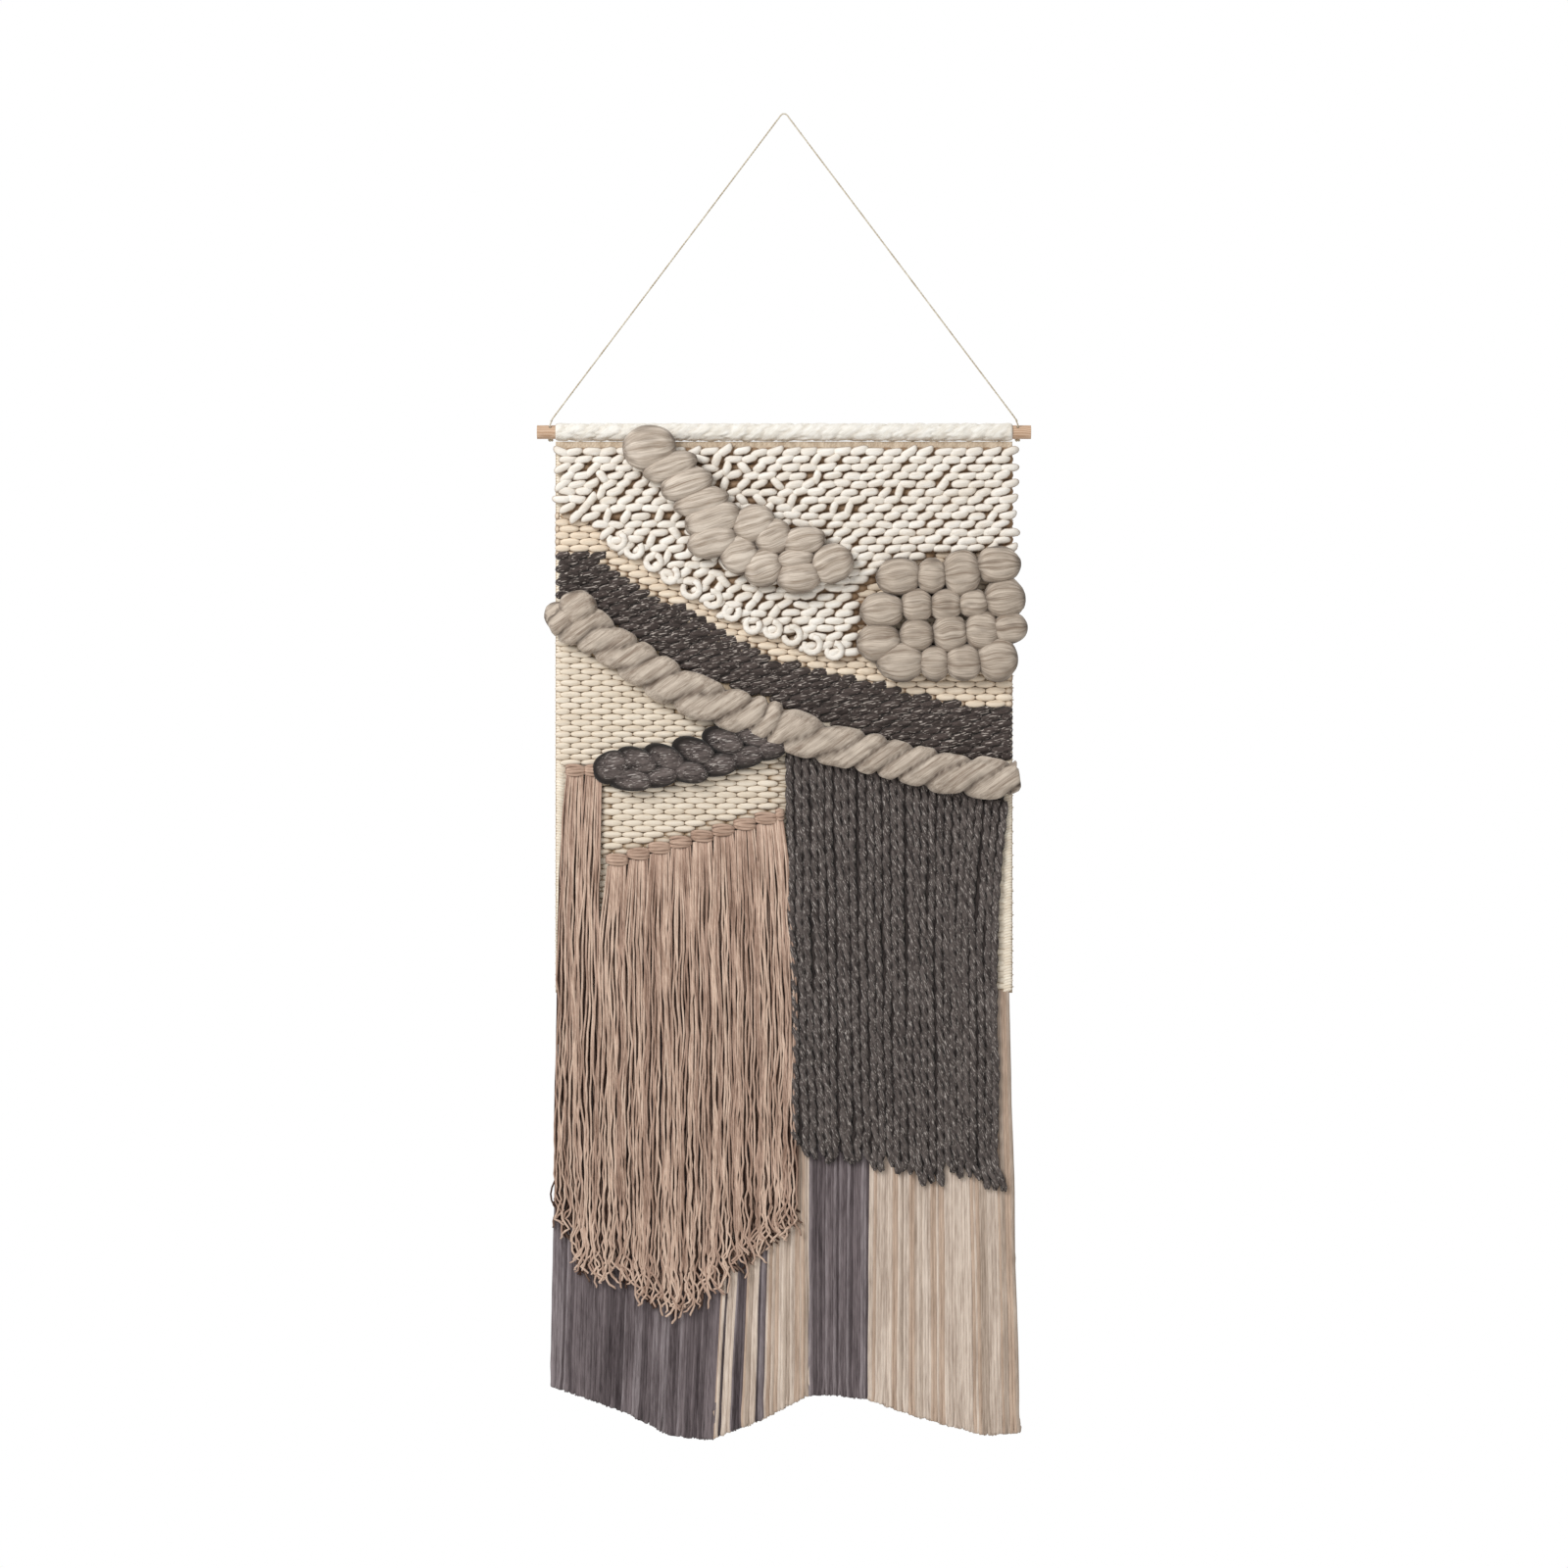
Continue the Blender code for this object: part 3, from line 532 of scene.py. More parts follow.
# Each knot is a plain overhand knot pulled tight against the wood, with a short cut tail.
KNOT_THREAD = 0.0009
KNOT_TAIL = [(0, 0, 0), (0.0010, 0.0018, 0.0020), (0.0030, 0.0016, 0.0045), (0.0062, 0.0010, 0.0060)]
TAIL_RADII = [0.0008] * 12 + [0.0005]
knots = []
for side_name in ("left", "right"):
    low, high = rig.box(f"cord_knot_{side_name}")
    middle = (low + high) / 2
    size = (high.x - low.x) / 2 - KNOT_THREAD
    tied = []
    for i in range(49):
        turn = 2 * math.pi * i / 48
        tied.append(middle + size / 3 * Vector((math.sin(turn) + 2 * math.sin(2 * turn),
                                                math.cos(turn) - 2 * math.cos(2 * turn),
                                                -1.6 * math.sin(3 * turn))))
    tail = smooth_points([middle + Vector(step) for step in KNOT_TAIL], 4)
    knot = spun(f"overhand_knot_{side_name}", [(tied, KNOT_THREAD, 0), (tail, TAIL_RADII, 0)])
    knots.append(fitted(knot, "hanger", "natural_twine", twine, [f"cord_knot_{side_name}"]))
cord_length = sum((b - a).length for a, b in zip(cord_route, cord_route[1:]))
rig.cord(cord, exit=cord_route[0], length=cord_length, diameter=CORD_DIAMETER, far_end="object",
        stiffness="limp", lay="taut", path=evenly(cord_route, 2 * CORD_DIAMETER), with_pieces=knots)

# ---------------------------------------------------------------- dowel
# A round pale hardwood rod, sawn and lightly sanded, drilled through near each end. The grain runs
# along it and shows as growth rings on the cut ends.

PITH = (0.021, 0.004)  # how far in front of the rod's axis, and below the rod, the tree's heart lay
wood = bpy.data.materials.new("sanded_beech")
wood.use_nodes = True
wood_tree = wood.node_tree
wood_shader = wood_tree.nodes["Principled BSDF"]
wood_place = node(wood_tree, "ShaderNodeTexCoord").outputs["Object"]
centred = node(wood_tree, "ShaderNodeMapping", {"Vector": wood_place,
                                                "Location": (0, PITH[0], -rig.box("dowel")[0].z + PITH[1]),
                                                "Scale": (0.35, 1, 1)})
waver = node(wood_tree, "ShaderNodeTexNoise", {"Vector": centred.outputs[0], "Scale": 60.0,
                                               "Detail": 2.0})
bent = node(wood_tree, "ShaderNodeMix", {"Factor": 0.012, "A": centred.outputs[0],
                                         "B": waver.outputs["Color"]}, data_type="RGBA")
rings = node(wood_tree, "ShaderNodeTexWave", {"Vector": bent.outputs["Result"], "Scale": 190.0,
                                              "Distortion": 1.2, "Detail": 2.0},
             wave_type="RINGS", rings_direction="X")
pores_place = node(wood_tree, "ShaderNodeVectorMath", {0: wood_place, 1: (90, 1700, 1700)},
                   operation="MULTIPLY")
pores = node(wood_tree, "ShaderNodeTexNoise", {"Vector": pores_place.outputs[0], "Scale": 1.0, "Detail": 4.0})
ring_tone = node(wood_tree, "ShaderNodeMix", {"Factor": rings.outputs["Fac"], "A": tint(214, 184, 157),
                                              "B": tint(188, 153, 123)}, data_type="RGBA")
pore_share = node(wood_tree, "ShaderNodeMapRange", {"Value": pores.outputs["Fac"], "From Min": 0.55,
                                                    "From Max": 0.75, "To Max": 0.6})
grain = node(wood_tree, "ShaderNodeMix", {"Factor": pore_share.outputs[0], "A": ring_tone.outputs["Result"],
                                          "B": tint(158, 120, 90)}, data_type="RGBA")
wood_tree.links.new(grain.outputs["Result"], wood_shader.inputs["Base Color"])
grain_bump = node(wood_tree, "ShaderNodeBump", {"Height": pores.outputs["Fac"], "Strength": 0.3,
                                                "Distance": 0.0003})
wood_tree.links.new(grain_bump.outputs["Normal"], wood_shader.inputs["Normal"])
wood_shader.inputs["Roughness"].default_value = 0.6
dowel = frame["nodes"]["dowel"]
dowel.data.materials.clear()
dowel.data.materials.append(wood)

# ---------------------------------------------------------------- top whipping
# A thick combed roving wound round the dowel to hold the weaving up. Each turn laps over the one
# before it, so the sleeve is ridged on a slant and soft at its edges.

TURN_PITCH = 0.0190
STARTS = 2  # rovings wound side by side, which sets the slant of each
WHIPPING_RADIUS = 0.0078
RIDGE = 0.0013  # how far each turn stands up between its two edges
TAPER = 0.004  # how much of each end thins out
WHIPPING_SIDES = 44
WHIPPING_STEP = 0.0019

low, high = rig.box("top_whipping")
dowel_z = (low.z + high.z) / 2
sleeve = bmesh.new()
crease_shade = sleeve.verts.layers.float.new("crease_shade")
bmesh.ops.create_cone(sleeve, cap_ends=False, segments=WHIPPING_SIDES, radius1=1, radius2=1,
                      depth=high.x - low.x)
bmesh.ops.rotate(sleeve, verts=sleeve.verts, matrix=Matrix.Rotation(math.pi / 2, 3, "Y"))
lengthwise = [edge for edge in sleeve.edges if abs(edge.verts[0].co.x - edge.verts[1].co.x) > 0.1]
bmesh.ops.subdivide_edges(sleeve, edges=lengthwise, cuts=round((high.x - low.x) / WHIPPING_STEP),
                          use_grid_fill=True)
for vertex in sleeve.verts:
    x, y, z = vertex.co
    angle = math.atan2(z, -y)
    turn = x / TURN_PITCH - STARTS * angle / (2 * math.pi)
    share = (turn + 0.45 * noise.noise(Vector((x * 45, y * 2, z * 2)))) % 1
    bulge = RIDGE * (1 - abs(2 * share - 1) ** 4) + 0.0006 * noise.noise(Vector((x * 90, y * 3, z * 3)))
    strand = 0.0008 * noise.noise(Vector((share * 7, x * 40, y + z)))
    # Painted shade in the creases where one turn laps the next
    vertex[crease_shade] = 0.34 * abs(2 * share - 1) ** 8
    end = min(1, (high.x - abs(x)) / TAPER) ** 0.5 if abs(x) < high.x else 0
    radius = WHIPPING_RADIUS + (bulge + strand) * (0.25 + 0.75 * end)
    vertex.co = Vector((x, y * radius, dowel_z + z * radius))
bmesh.ops.recalc_face_normals(sleeve, faces=sleeve.faces)
whipping = solid("whipping_roving", sleeve)
wall = whipping.modifiers.new("wall", "SOLIDIFY")
wall.thickness = 0.0006
wall.offset = -1
# The roving is painted browner where it turns back towards the dowel and in its creases, as painted shade.
white_roving = yarn_finish("white_roving", tint(250, 247, 240), tint(228, 221, 208), shade_colour=tint(186, 168, 144),
                           face=-0.003, root=0.02, tilt=0.7, fineness=(70, 700, 900), relief=0.0008,
                           crease_shades=True)
fitted(whipping, "panel", "white_wool", white_roving, ["top_whipping"])

# ---------------------------------------------------------------- ground weave and header
# The panel itself is one piece of plain weave, with a narrow tan header woven below the dowel. It
# hangs straight, and everything else is worked on its face.


def woven_sheet(name, slab, cell, ripple, thickness):
    """A sheet over the whole of a CAD slab, with over-and-under relief. Also gives the slab's size."""
    low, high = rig.box(slab)
    size = high - low
    middle = (low + high) / 2
    shape = bmesh.new()
    bmesh.ops.create_grid(shape, x_segments=round(size.x / cell), y_segments=round(size.z / cell), size=0.5)
    for vertex in shape.verts:
        x, z, _ = vertex.co
        x, z = middle.x + x * size.x, middle.z + z * size.z
        over = math.sin(x / cell * math.pi / 2) * math.sin(z / cell * math.pi / 2)
        vertex.co = Vector((x, middle.y - thickness / 2 - ripple * over, z))
    bmesh.ops.recalc_face_normals(shape, faces=shape.faces)
    if shape.faces[:][0].normal.y > 0:
        bmesh.ops.reverse_faces(shape, faces=shape.faces)
    sheet = solid(name, shape)
    depth = sheet.modifiers.new("thickness", "SOLIDIFY")
    depth.thickness = thickness
    depth.offset = -1
    return sheet, size


tan_warp = yarn_finish("tan_warp", tint(206, 186, 160), tint(160, 138, 110), fineness=(700, 700, 180),
                       relief=0.0003)
header_cotton = yarn_finish("header_cotton", tint(228, 212, 190), tint(190, 170, 146),
                            fineness=(700, 700, 180), relief=0.0003)
header, header_size = woven_sheet("header_weave", "header_band", cell=0.0011, ripple=0.0004,
                                  thickness=0.0018)
fitted(header, "panel", "tan_cotton", header_cotton, ["header_band"])
ground, ground_size = woven_sheet("ground_cloth", "ground_weave", cell=0.0058, ripple=0.0003,
                                  thickness=0.002)
fitted(ground, "panel", "cream_cotton", tan_warp, ["ground_weave"])
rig.sheet(ground, flat=(ground_size.x, ground_size.z), held="hung", rests_on=["dowel"])
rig.sheet(header, flat=(header_size.x, header_size.z), held="hung", rests_on=["dowel"])


def reach(name):
    """The faces of a CAD node, to ask where it reaches."""
    mesh = frame["nodes"][name].data
    return BVHTree.FromPolygons([vertex.co for vertex in mesh.vertices],
                                [face.vertices for face in mesh.polygons])


def covers(tree, x, z):
    """Whether a node stands in front of this place on the panel."""
    return tree.ray_cast(Vector((x, -1, z)), Vector((0, 1, 0)))[0] is not None


def edge_of(tree, x, y, way):
    """The height of a node's lower (1) or upper (-1) edge at this place, or None beside it."""
    found = tree.ray_cast(Vector((x, y, -3 * way)), Vector((0, 0, way)))[0]
    return found.z if found else None


def ball(name, round_sides, rings, plump):
    """A plump seed shape with its poles at its two ends along X, to lay stitches from."""
    shape = bmesh.new()
    bmesh.ops.create_uvsphere(shape, u_segments=round_sides, v_segments=rings, radius=1)
    bmesh.ops.rotate(shape, verts=shape.verts, matrix=Matrix.Rotation(math.pi / 2, 3, "Y"))
    for vertex in shape.verts:
        vertex.co.x = math.copysign(abs(vertex.co.x) ** plump, vertex.co.x)
    mesh = bpy.data.meshes.new(name)
    shape.to_mesh(mesh)
    shape.free()
    return mesh


def lay(bundle, seed, place, size, tilt=0.0, lean=0.0):
    """Adds one stitch to a bundle: a seed of this half size, tilted in the panel's plane."""
    first = len(bundle.verts)
    bundle.from_mesh(seed)
    bundle.verts.ensure_lookup_table()
    turn = Matrix.Translation(place) @ Matrix.Rotation(-tilt, 4, "Y") @ Matrix.Rotation(lean, 4, "Z")
    bmesh.ops.transform(bundle, matrix=turn @ Matrix.Diagonal((*size, 1)), verts=bundle.verts[first:])


SEAM = 0.0006  # wider than the gap between two CAD slabs


def brick_bond(trees, span, pitch, dice, spill=((0, 0), (0, -SEAM))):
    """Places in a brick bond, row by row, each with the first node that covers it or a spill from it."""
    low_x, high_x, low_z, high_z = span
    row = 0
    z = high_z
    while z > low_z:
        x = low_x + (0.5 if row % 2 else 0.0) * pitch[0]
        while x < high_x:
            where = [name for name, tree in trees.items()
                     if any(covers(tree, x + aside, z + above) for aside, above in spill)]
            if where:
                yield where[0], x + dice.uniform(-1, 1) * 0.0004, z, row
            x += pitch[0]
        z -= pitch[1]
        row += 1


# The back of the ground shows the same stitches, flatter, where each weft turns behind its warps.
BACK_PITCH = (0.0208, 0.0061)
BACK_RISE = 0.0017
dice = random.Random(3)
seed = ball("back_seed", 6, 4, 1)
backs = bmesh.new()
ground_low, ground_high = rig.box("ground_weave")
ground_tree = {"ground_weave": reach("ground_weave")}
span = (ground_low.x + 0.010, ground_high.x - 0.008, ground_low.z + 0.003, ground_high.z - 0.003)
for _, x, z, _ in brick_bond(ground_tree, span, BACK_PITCH, dice):
    lay(backs, seed, (x, ground_high.y, z), (BACK_PITCH[0] * 0.5, BACK_RISE, BACK_PITCH[1] * 0.52))
back_cotton = yarn_finish("back_cotton", tint(236, 225, 208), tint(204, 189, 168), fineness=(80, 700, 900))
fitted(solid("back_stitches", backs), "panel", "cream_cotton", back_cotton)

# ---------------------------------------------------------------- cream weave
# Thick soft cotton laid over the warps in a brick bond. Each pass bulges between two ties, so the surface is a
# bed of small pointed pillows with the tan warp showing dark between them. Their turned sides and deeper
# parts are painted browner, as painted shade.

STITCH_BACK = 0.0009  # just inside the back of the ground
PANEL_HALF = ground_high.x + 0.0006
CREAM_PITCH = (0.0212, 0.0058)
OAT_PITCH = (0.0202, 0.0066)
FULL_RISE, SPILLED_RISE = 0.0037, 0.0027


def lay_pass(bed, seed, x, z, half, tall, depth, tilt):
    """One pass of weft between two ties, cut short where it turns round the selvedge."""
    left, right = max(x - half, -PANEL_HALF), min(x + half, PANEL_HALF)
    if right - left > 0.3 * half:
        lay(bed, seed, ((left + right) / 2, STITCH_BACK - depth, z), ((right - left) / 2, depth, tall),
            tilt=tilt)


seed = ball("stitch_seed", 8, 6, 0.85)
# The three cream finishes are painted brown on their turned sides and where they lie deep, as painted shade.
cream = yarn_finish("cream_wool", tint(243, 232, 215), tint(220, 205, 184), shade_colour=tint(160, 134, 104),
                    face=-0.0046, root=-0.0028, fineness=(70, 800, 1000), rim=0.55)
oat = yarn_finish("oat_wool", tint(246, 231, 210), tint(221, 202, 178), shade_colour=tint(150, 122, 94),
                  face=-0.0046, root=-0.0028, fineness=(70, 800, 1000), rim=0.55)
flat_cream = yarn_finish("flat_cream", tint(240, 229, 211), tint(214, 199, 178), shade_colour=tint(160, 134, 104),
                         face=-0.0020, root=-0.0008, fineness=(70, 800, 1000), rim=0.55)
# How far each field runs in under the pieces round it: above and below, and for two of them also aside
ABOVE_AND_BELOW = (0, -0.005, 0.004)
UNDER = [(aside, above) for aside in (0, -0.014, 0.016) for above in ABOVE_AND_BELOW]
FIELDS = {"cream_weave_upper": (OAT_PITCH, oat, UNDER),
          "cream_weave_middle": (CREAM_PITCH, cream, [(0, above) for above in ABOVE_AND_BELOW]),
          "cream_weave_lower": (CREAM_PITCH, cream, UNDER)}
for name, (pitch, finish, spill) in FIELDS.items():
    low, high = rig.box(name)
    bed = bmesh.new()
    tree = reach(name)
    span = (low.x - 0.006, high.x + 0.016, low.z - 0.004, high.z)
    for _, x, z, _ in brick_bond({name: tree}, span, pitch, dice, spill):
        # Where a pass runs in under its neighbours it lies flatter.
        rise = FULL_RISE if covers(tree, x, z - SEAM) else SPILLED_RISE
        lay_pass(bed, seed, x, z + dice.uniform(-1, 1) * 0.0002, pitch[0] * 0.53, pitch[1] * 0.66,
                 rise, dice.uniform(-0.03, 0.03))
    stitches = solid(f"stitches_{name.split('_')[-1]}", bed)
    fitted(stitches, "panel", "cream_cotton", finish, [name])

# The same weave goes on, flatter, under the fringes.
UNDER_FRINGES = -0.62  # where it starts, on its way down
FLAT_STITCH = (0.0112, 0.0038, 0.0018)  # half its length, half its height, and its rise
fields = [reach(name) for name in ("cream_weave_middle", "cream_weave_lower", "braid_lower_row")]
bed = bmesh.new()
span = (ground_low.x - 0.006, ground_high.x + 0.016, ground_low.z + 0.002, UNDER_FRINGES)
for _, x, z, _ in brick_bond(ground_tree, span, CREAM_PITCH, dice):
    if not any(covers(tree, x, z) for tree in fields):
        lay_pass(bed, seed, x, z, *FLAT_STITCH, dice.uniform(-0.03, 0.03))
fitted(solid("stitches_under_fringes", bed), "panel", "cream_cotton", flat_cream)

# Down each selvedge the weft turns back round the last warps, as a narrow column of small wraps.
WRAP_PITCH = 0.0029
WRAP = (0.0050, 0.0022, WRAP_PITCH * 0.72)  # half sizes
SELVEDGE_FOOT = -0.899
# The wraps are painted browner on their turned sides and where they lie deep, as painted shade.
edge_cotton = yarn_finish("edge_cotton", tint(250, 241, 224), tint(228, 213, 192), shade_colour=tint(186, 164, 138),
                          face=-0.0022, root=0.0006, fineness=(90, 800, 900), rim=0.5)
seed = ball("wrap_seed", 6, 6, 0.7)
for side_name, side in (("left", -1), ("right", 1)):
    column = bmesh.new()
    for i in range(int((dowel_z - 0.02 - SELVEDGE_FOOT) / WRAP_PITCH)):
        place = (side * (ground_high.x - 0.0052), -0.0010, dowel_z - 0.021 - i * WRAP_PITCH)
        lay(column, seed, place, WRAP, tilt=side * 0.3 + dice.uniform(-0.05, 0.05))
    fitted(solid(f"selvedge_{side_name}", column), "panel", "cream_cotton", edge_cotton)

# ---------------------------------------------------------------- charcoal stripe
# One broad stripe of dark wool tweed with pale flecks, in the same bond but as longer slanting
# leaves, stepping up the weave above the taupe band.

LEAF_PITCH = (0.0205, 0.0066)
LEAF = (0.0118, 0.0047, 0.0039)  # half its length, half its height, and its rise
LEAF_TILT = 0.12
# Painted shade: the leaves turn near black on their sides and where they lie deep. The pale flecks are the tweed's
# own.
tweed = yarn_finish("charcoal_tweed", tint(90, 79, 75), tint(42, 36, 33), shade_colour=tint(24, 20, 19),
                    face=-0.0048, root=-0.0026, tilt=0.2, fineness=(130, 900, 1000),
                    fleck=tint(186, 176, 168), rim=0.6)
seed = ball("leaf_seed", 8, 6, 0.9)
low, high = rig.box("charcoal_stripe")
leaves = bmesh.new()
for _, x, z, _ in brick_bond({"charcoal_stripe": reach("charcoal_stripe")},
                             (low.x + 0.004, high.x + 0.006, low.z, high.z), LEAF_PITCH, dice):
    lay_pass(leaves, seed, x, z, *LEAF, LEAF_TILT + dice.uniform(-0.07, 0.07))
fitted(solid("tweed_leaves", leaves), "panel", "charcoal_tweed", tweed, ["charcoal_stripe"])

# ---------------------------------------------------------------- loop pile
# Short lengths of thick white felted wool, looped under the warps in close rows and left standing.
# Most lie along the row, some stand across it, and the tan ground shows between them. The wool is painted
# brown on its turned sides and where it lies deep, as painted shade, darkest on the lengths behind the loops.

LOOP_ROW = 0.0082
LOOP_SPACING = 0.0170
LYING_LENGTH, STANDING_LENGTH = (0.0098, 0.0114), (0.0082, 0.0092)  # half lengths, shortest and longest
LOOP_THICKNESS = (0.0042, 0.0050)
LOOP_RISE = 0.0052
LOOP_MIDDLE = -0.0083
BEHIND_LOOP = (0.0095, 0.0036, 0.0047)  # half sizes of the length that closes the gap behind two loops
BEHIND_MIDDLE = -0.0040
PILE = ["loop_pile_top", "loop_pile_left", "loop_pile_lower", "loop_pile_right"]
# Painted shade: brown towards the ground and on the turned sides.
loop_wool = yarn_finish("loop_wool", tint(250, 245, 237), tint(228, 218, 204), shade_colour=tint(152, 124, 96),
                        face=-0.0116, root=-0.0064, tilt=0.2, fineness=(110, 600, 700), relief=0.0007,
                        rim=0.95)


def bent_seed(name, bow, twist):
    """A felted length that dips at both ends, bowed like a smile and twisted like an S."""
    seed = ball(name, 8, 7, 0.62)
    for vertex in seed.vertices:
        x = vertex.co.x
        vertex.co.y += 0.45 * x ** 2
        vertex.co.z += bow * x ** 2 + twist * x ** 3
    return seed


LOOP_SEEDS = [bent_seed("loop_flat", 0.0, 0.12), bent_seed("loop_smile", 0.42, 0.10),
              bent_seed("loop_frown", -0.30, 0.12), bent_seed("loop_wave", 0.10, 0.40)]
dice = random.Random(11)
trees = {name: reach(name) for name in PILE}
beds = {name: bmesh.new() for name in PILE}
low = Vector(map(min, *[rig.box(name)[0] for name in PILE]))
high = Vector(map(max, *[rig.box(name)[1] for name in PILE]))
for name, x, z, row in brick_bond(trees, (low.x + 0.0095, high.x - 0.003, low.z, high.z - 0.0055),
                                  (LOOP_SPACING, LOOP_ROW), dice):
    # The left side was pulled about by hand and the right side left in its rows.
    x = min(max(x, LOOP_SPACING / 2 - PANEL_HALF), PANEL_HALF - 0.004)
    loose = min(max(0.5 - x / 0.16, 0), 1)
    stands = row > 0 and dice.random() < 0.05 + 0.16 * loose
    tilt = dice.choice((0.9, 1.2, -0.9, 0.7)) if stands else dice.gauss(0.17, 0.10 + 0.16 * loose)
    length = dice.uniform(*(STANDING_LENGTH if stands else LYING_LENGTH))
    thick = dice.uniform(*LOOP_THICKNESS)
    seed = dice.choice(LOOP_SEEDS)
    place = (x + dice.gauss(0, 0.0010), LOOP_MIDDLE - dice.uniform(0, 0.0016) - 0.001 * stands,
             z + dice.gauss(0, 0.0005))
    lay(beds[name], seed, place, (length, LOOP_RISE, thick), tilt=tilt)
    place = (min(x + LOOP_SPACING / 2, PANEL_HALF - 0.009), BEHIND_MIDDLE, z)
    lay(beds[name], LOOP_SEEDS[0], place, BEHIND_LOOP, tilt=0.1)
for name, bed in beds.items():
    fitted(solid(name.replace("loop_pile", "loops"), bed), "panel", "white_wool", loop_wool, [name])

# Along the lower left edge the loops stand free and curl into open rings.
CURL_STEP = 0.0205
CURL_RADII = [0.0030, *[0.0037] * 8, 0.0032]
CURLS_FROM, CURLS_TO = -0.170, 0.068
curls = []
x = CURLS_FROM
while x < CURLS_TO:
    heights = [edge_of(trees[name], x, -0.007, 1) for name in PILE]
    z = min(height for height in heights if height) + dice.uniform(0.003, 0.007)
    radius = dice.uniform(0.0070, 0.0092)
    start = dice.uniform(1.8, 3.2)
    curl = [Vector((x + radius * math.cos(start + turn * 0.55), -0.0095 - 0.0004 * turn,
                    z + radius * math.sin(start + turn * 0.55))) for turn in range(10)]
    curls.append((curl, CURL_RADII, 0))
    x += CURL_STEP * dice.uniform(0.8, 1.15)
fitted(spun("loop_curls", curls, 2), "panel", "white_wool", loop_wool)

# ---------------------------------------------------------------- taupe puffs
# Fistfuls of combed taupe roving, pulled through the weave and tied down between, so that each
# stands out as a soft streaked pillow. The left ones lie on the loops, the right ones are packed.

# Both rovings are painted dark brown where they lie deep and in their creases, as painted shade.
puff_wool = yarn_finish("puff_roving", tint(224, 211, 196), tint(158, 141, 124), shade_colour=tint(84, 68, 56),
                        face=-0.024, root=-0.0150, fineness=(60, 420, 1500), contrast=(0.36, 0.60),
                        relief=0.0014, laid="combed", crease_shades=True)
right_wool = yarn_finish("right_roving", tint(208, 194, 178), tint(142, 125, 109), shade_colour=tint(66, 53, 44),
                         face=-0.019, root=-0.0090, fineness=(60, 420, 1500), contrast=(0.36, 0.60),
                         relief=0.0014, laid="combed", crease_shades=True)
# Each puff: millimetres across from the centre line and down from the dowel, its width and height, its tilt
LEFT_PUFFS = {
    "left_puffs_column": [(-137, 17, 50, 41, 0.15), (-116, 36, 52, 27, 0.3), (-99, 54, 50, 30, 0.3),
                          (-84, 72, 52, 27, 0.25), (-72.6, 90, 54, 33, 0.28), (-73, 112, 48, 31, 0.25)],
    "left_puffs_upper_row": [(-31, 94.6, 42, 36, 0.3), (-12, 107, 36, 34, 0.35), (20, 112, 41, 27, 0.2)],
    "left_puffs_lower_row": [(-46, 125, 36, 38, 0.3), (-21.5, 139, 38, 35, 0.3), (15, 148.5, 42, 30, 0.15),
                             (12, 130, 36, 20, 0.15), (48.6, 134.8, 41, 36, 0.4)]}
RIGHT_PUFFS = {
    "right_puffs_row_1": [(117, 148, 43, 35, 0.1), (150, 147, 29, 33, 0.0), (181, 144, 37, 44, 0.1),
                          (218, 136, 42, 35, 0.05)],
    "right_puffs_row_2": [(100, 182.5, 42, 33, 0.1), (135, 177, 31, 33, 0.05), (165, 177, 31, 32, 0.0),
                          (192.6, 175.5, 30, 27, 0.1), (224.5, 170, 39, 38, 0.1)],
    "right_puffs_row_3": [(97, 215, 43, 36, 0.1), (135, 208, 33, 32, 0.05), (169, 205.5, 35, 36, 0.1),
                          (201.6, 203, 34, 39, 0.0), (230, 200, 33, 29, 0.1)],
    "right_puffs_row_4": [(118.7, 234, 46, 37, 0.1), (153, 235.5, 30, 33, 0.0), (182.5, 235.5, 35, 34, 0.05),
                          (217, 231.6, 39, 43, 0.1)]}
PUFF_SPREAD = 1.10  # the puffs press against each other, so each is a little bigger than its place
# The darkest painted crease shade, as a share of the shade colour
DARKEST_CREASE_SHADE = 0.85


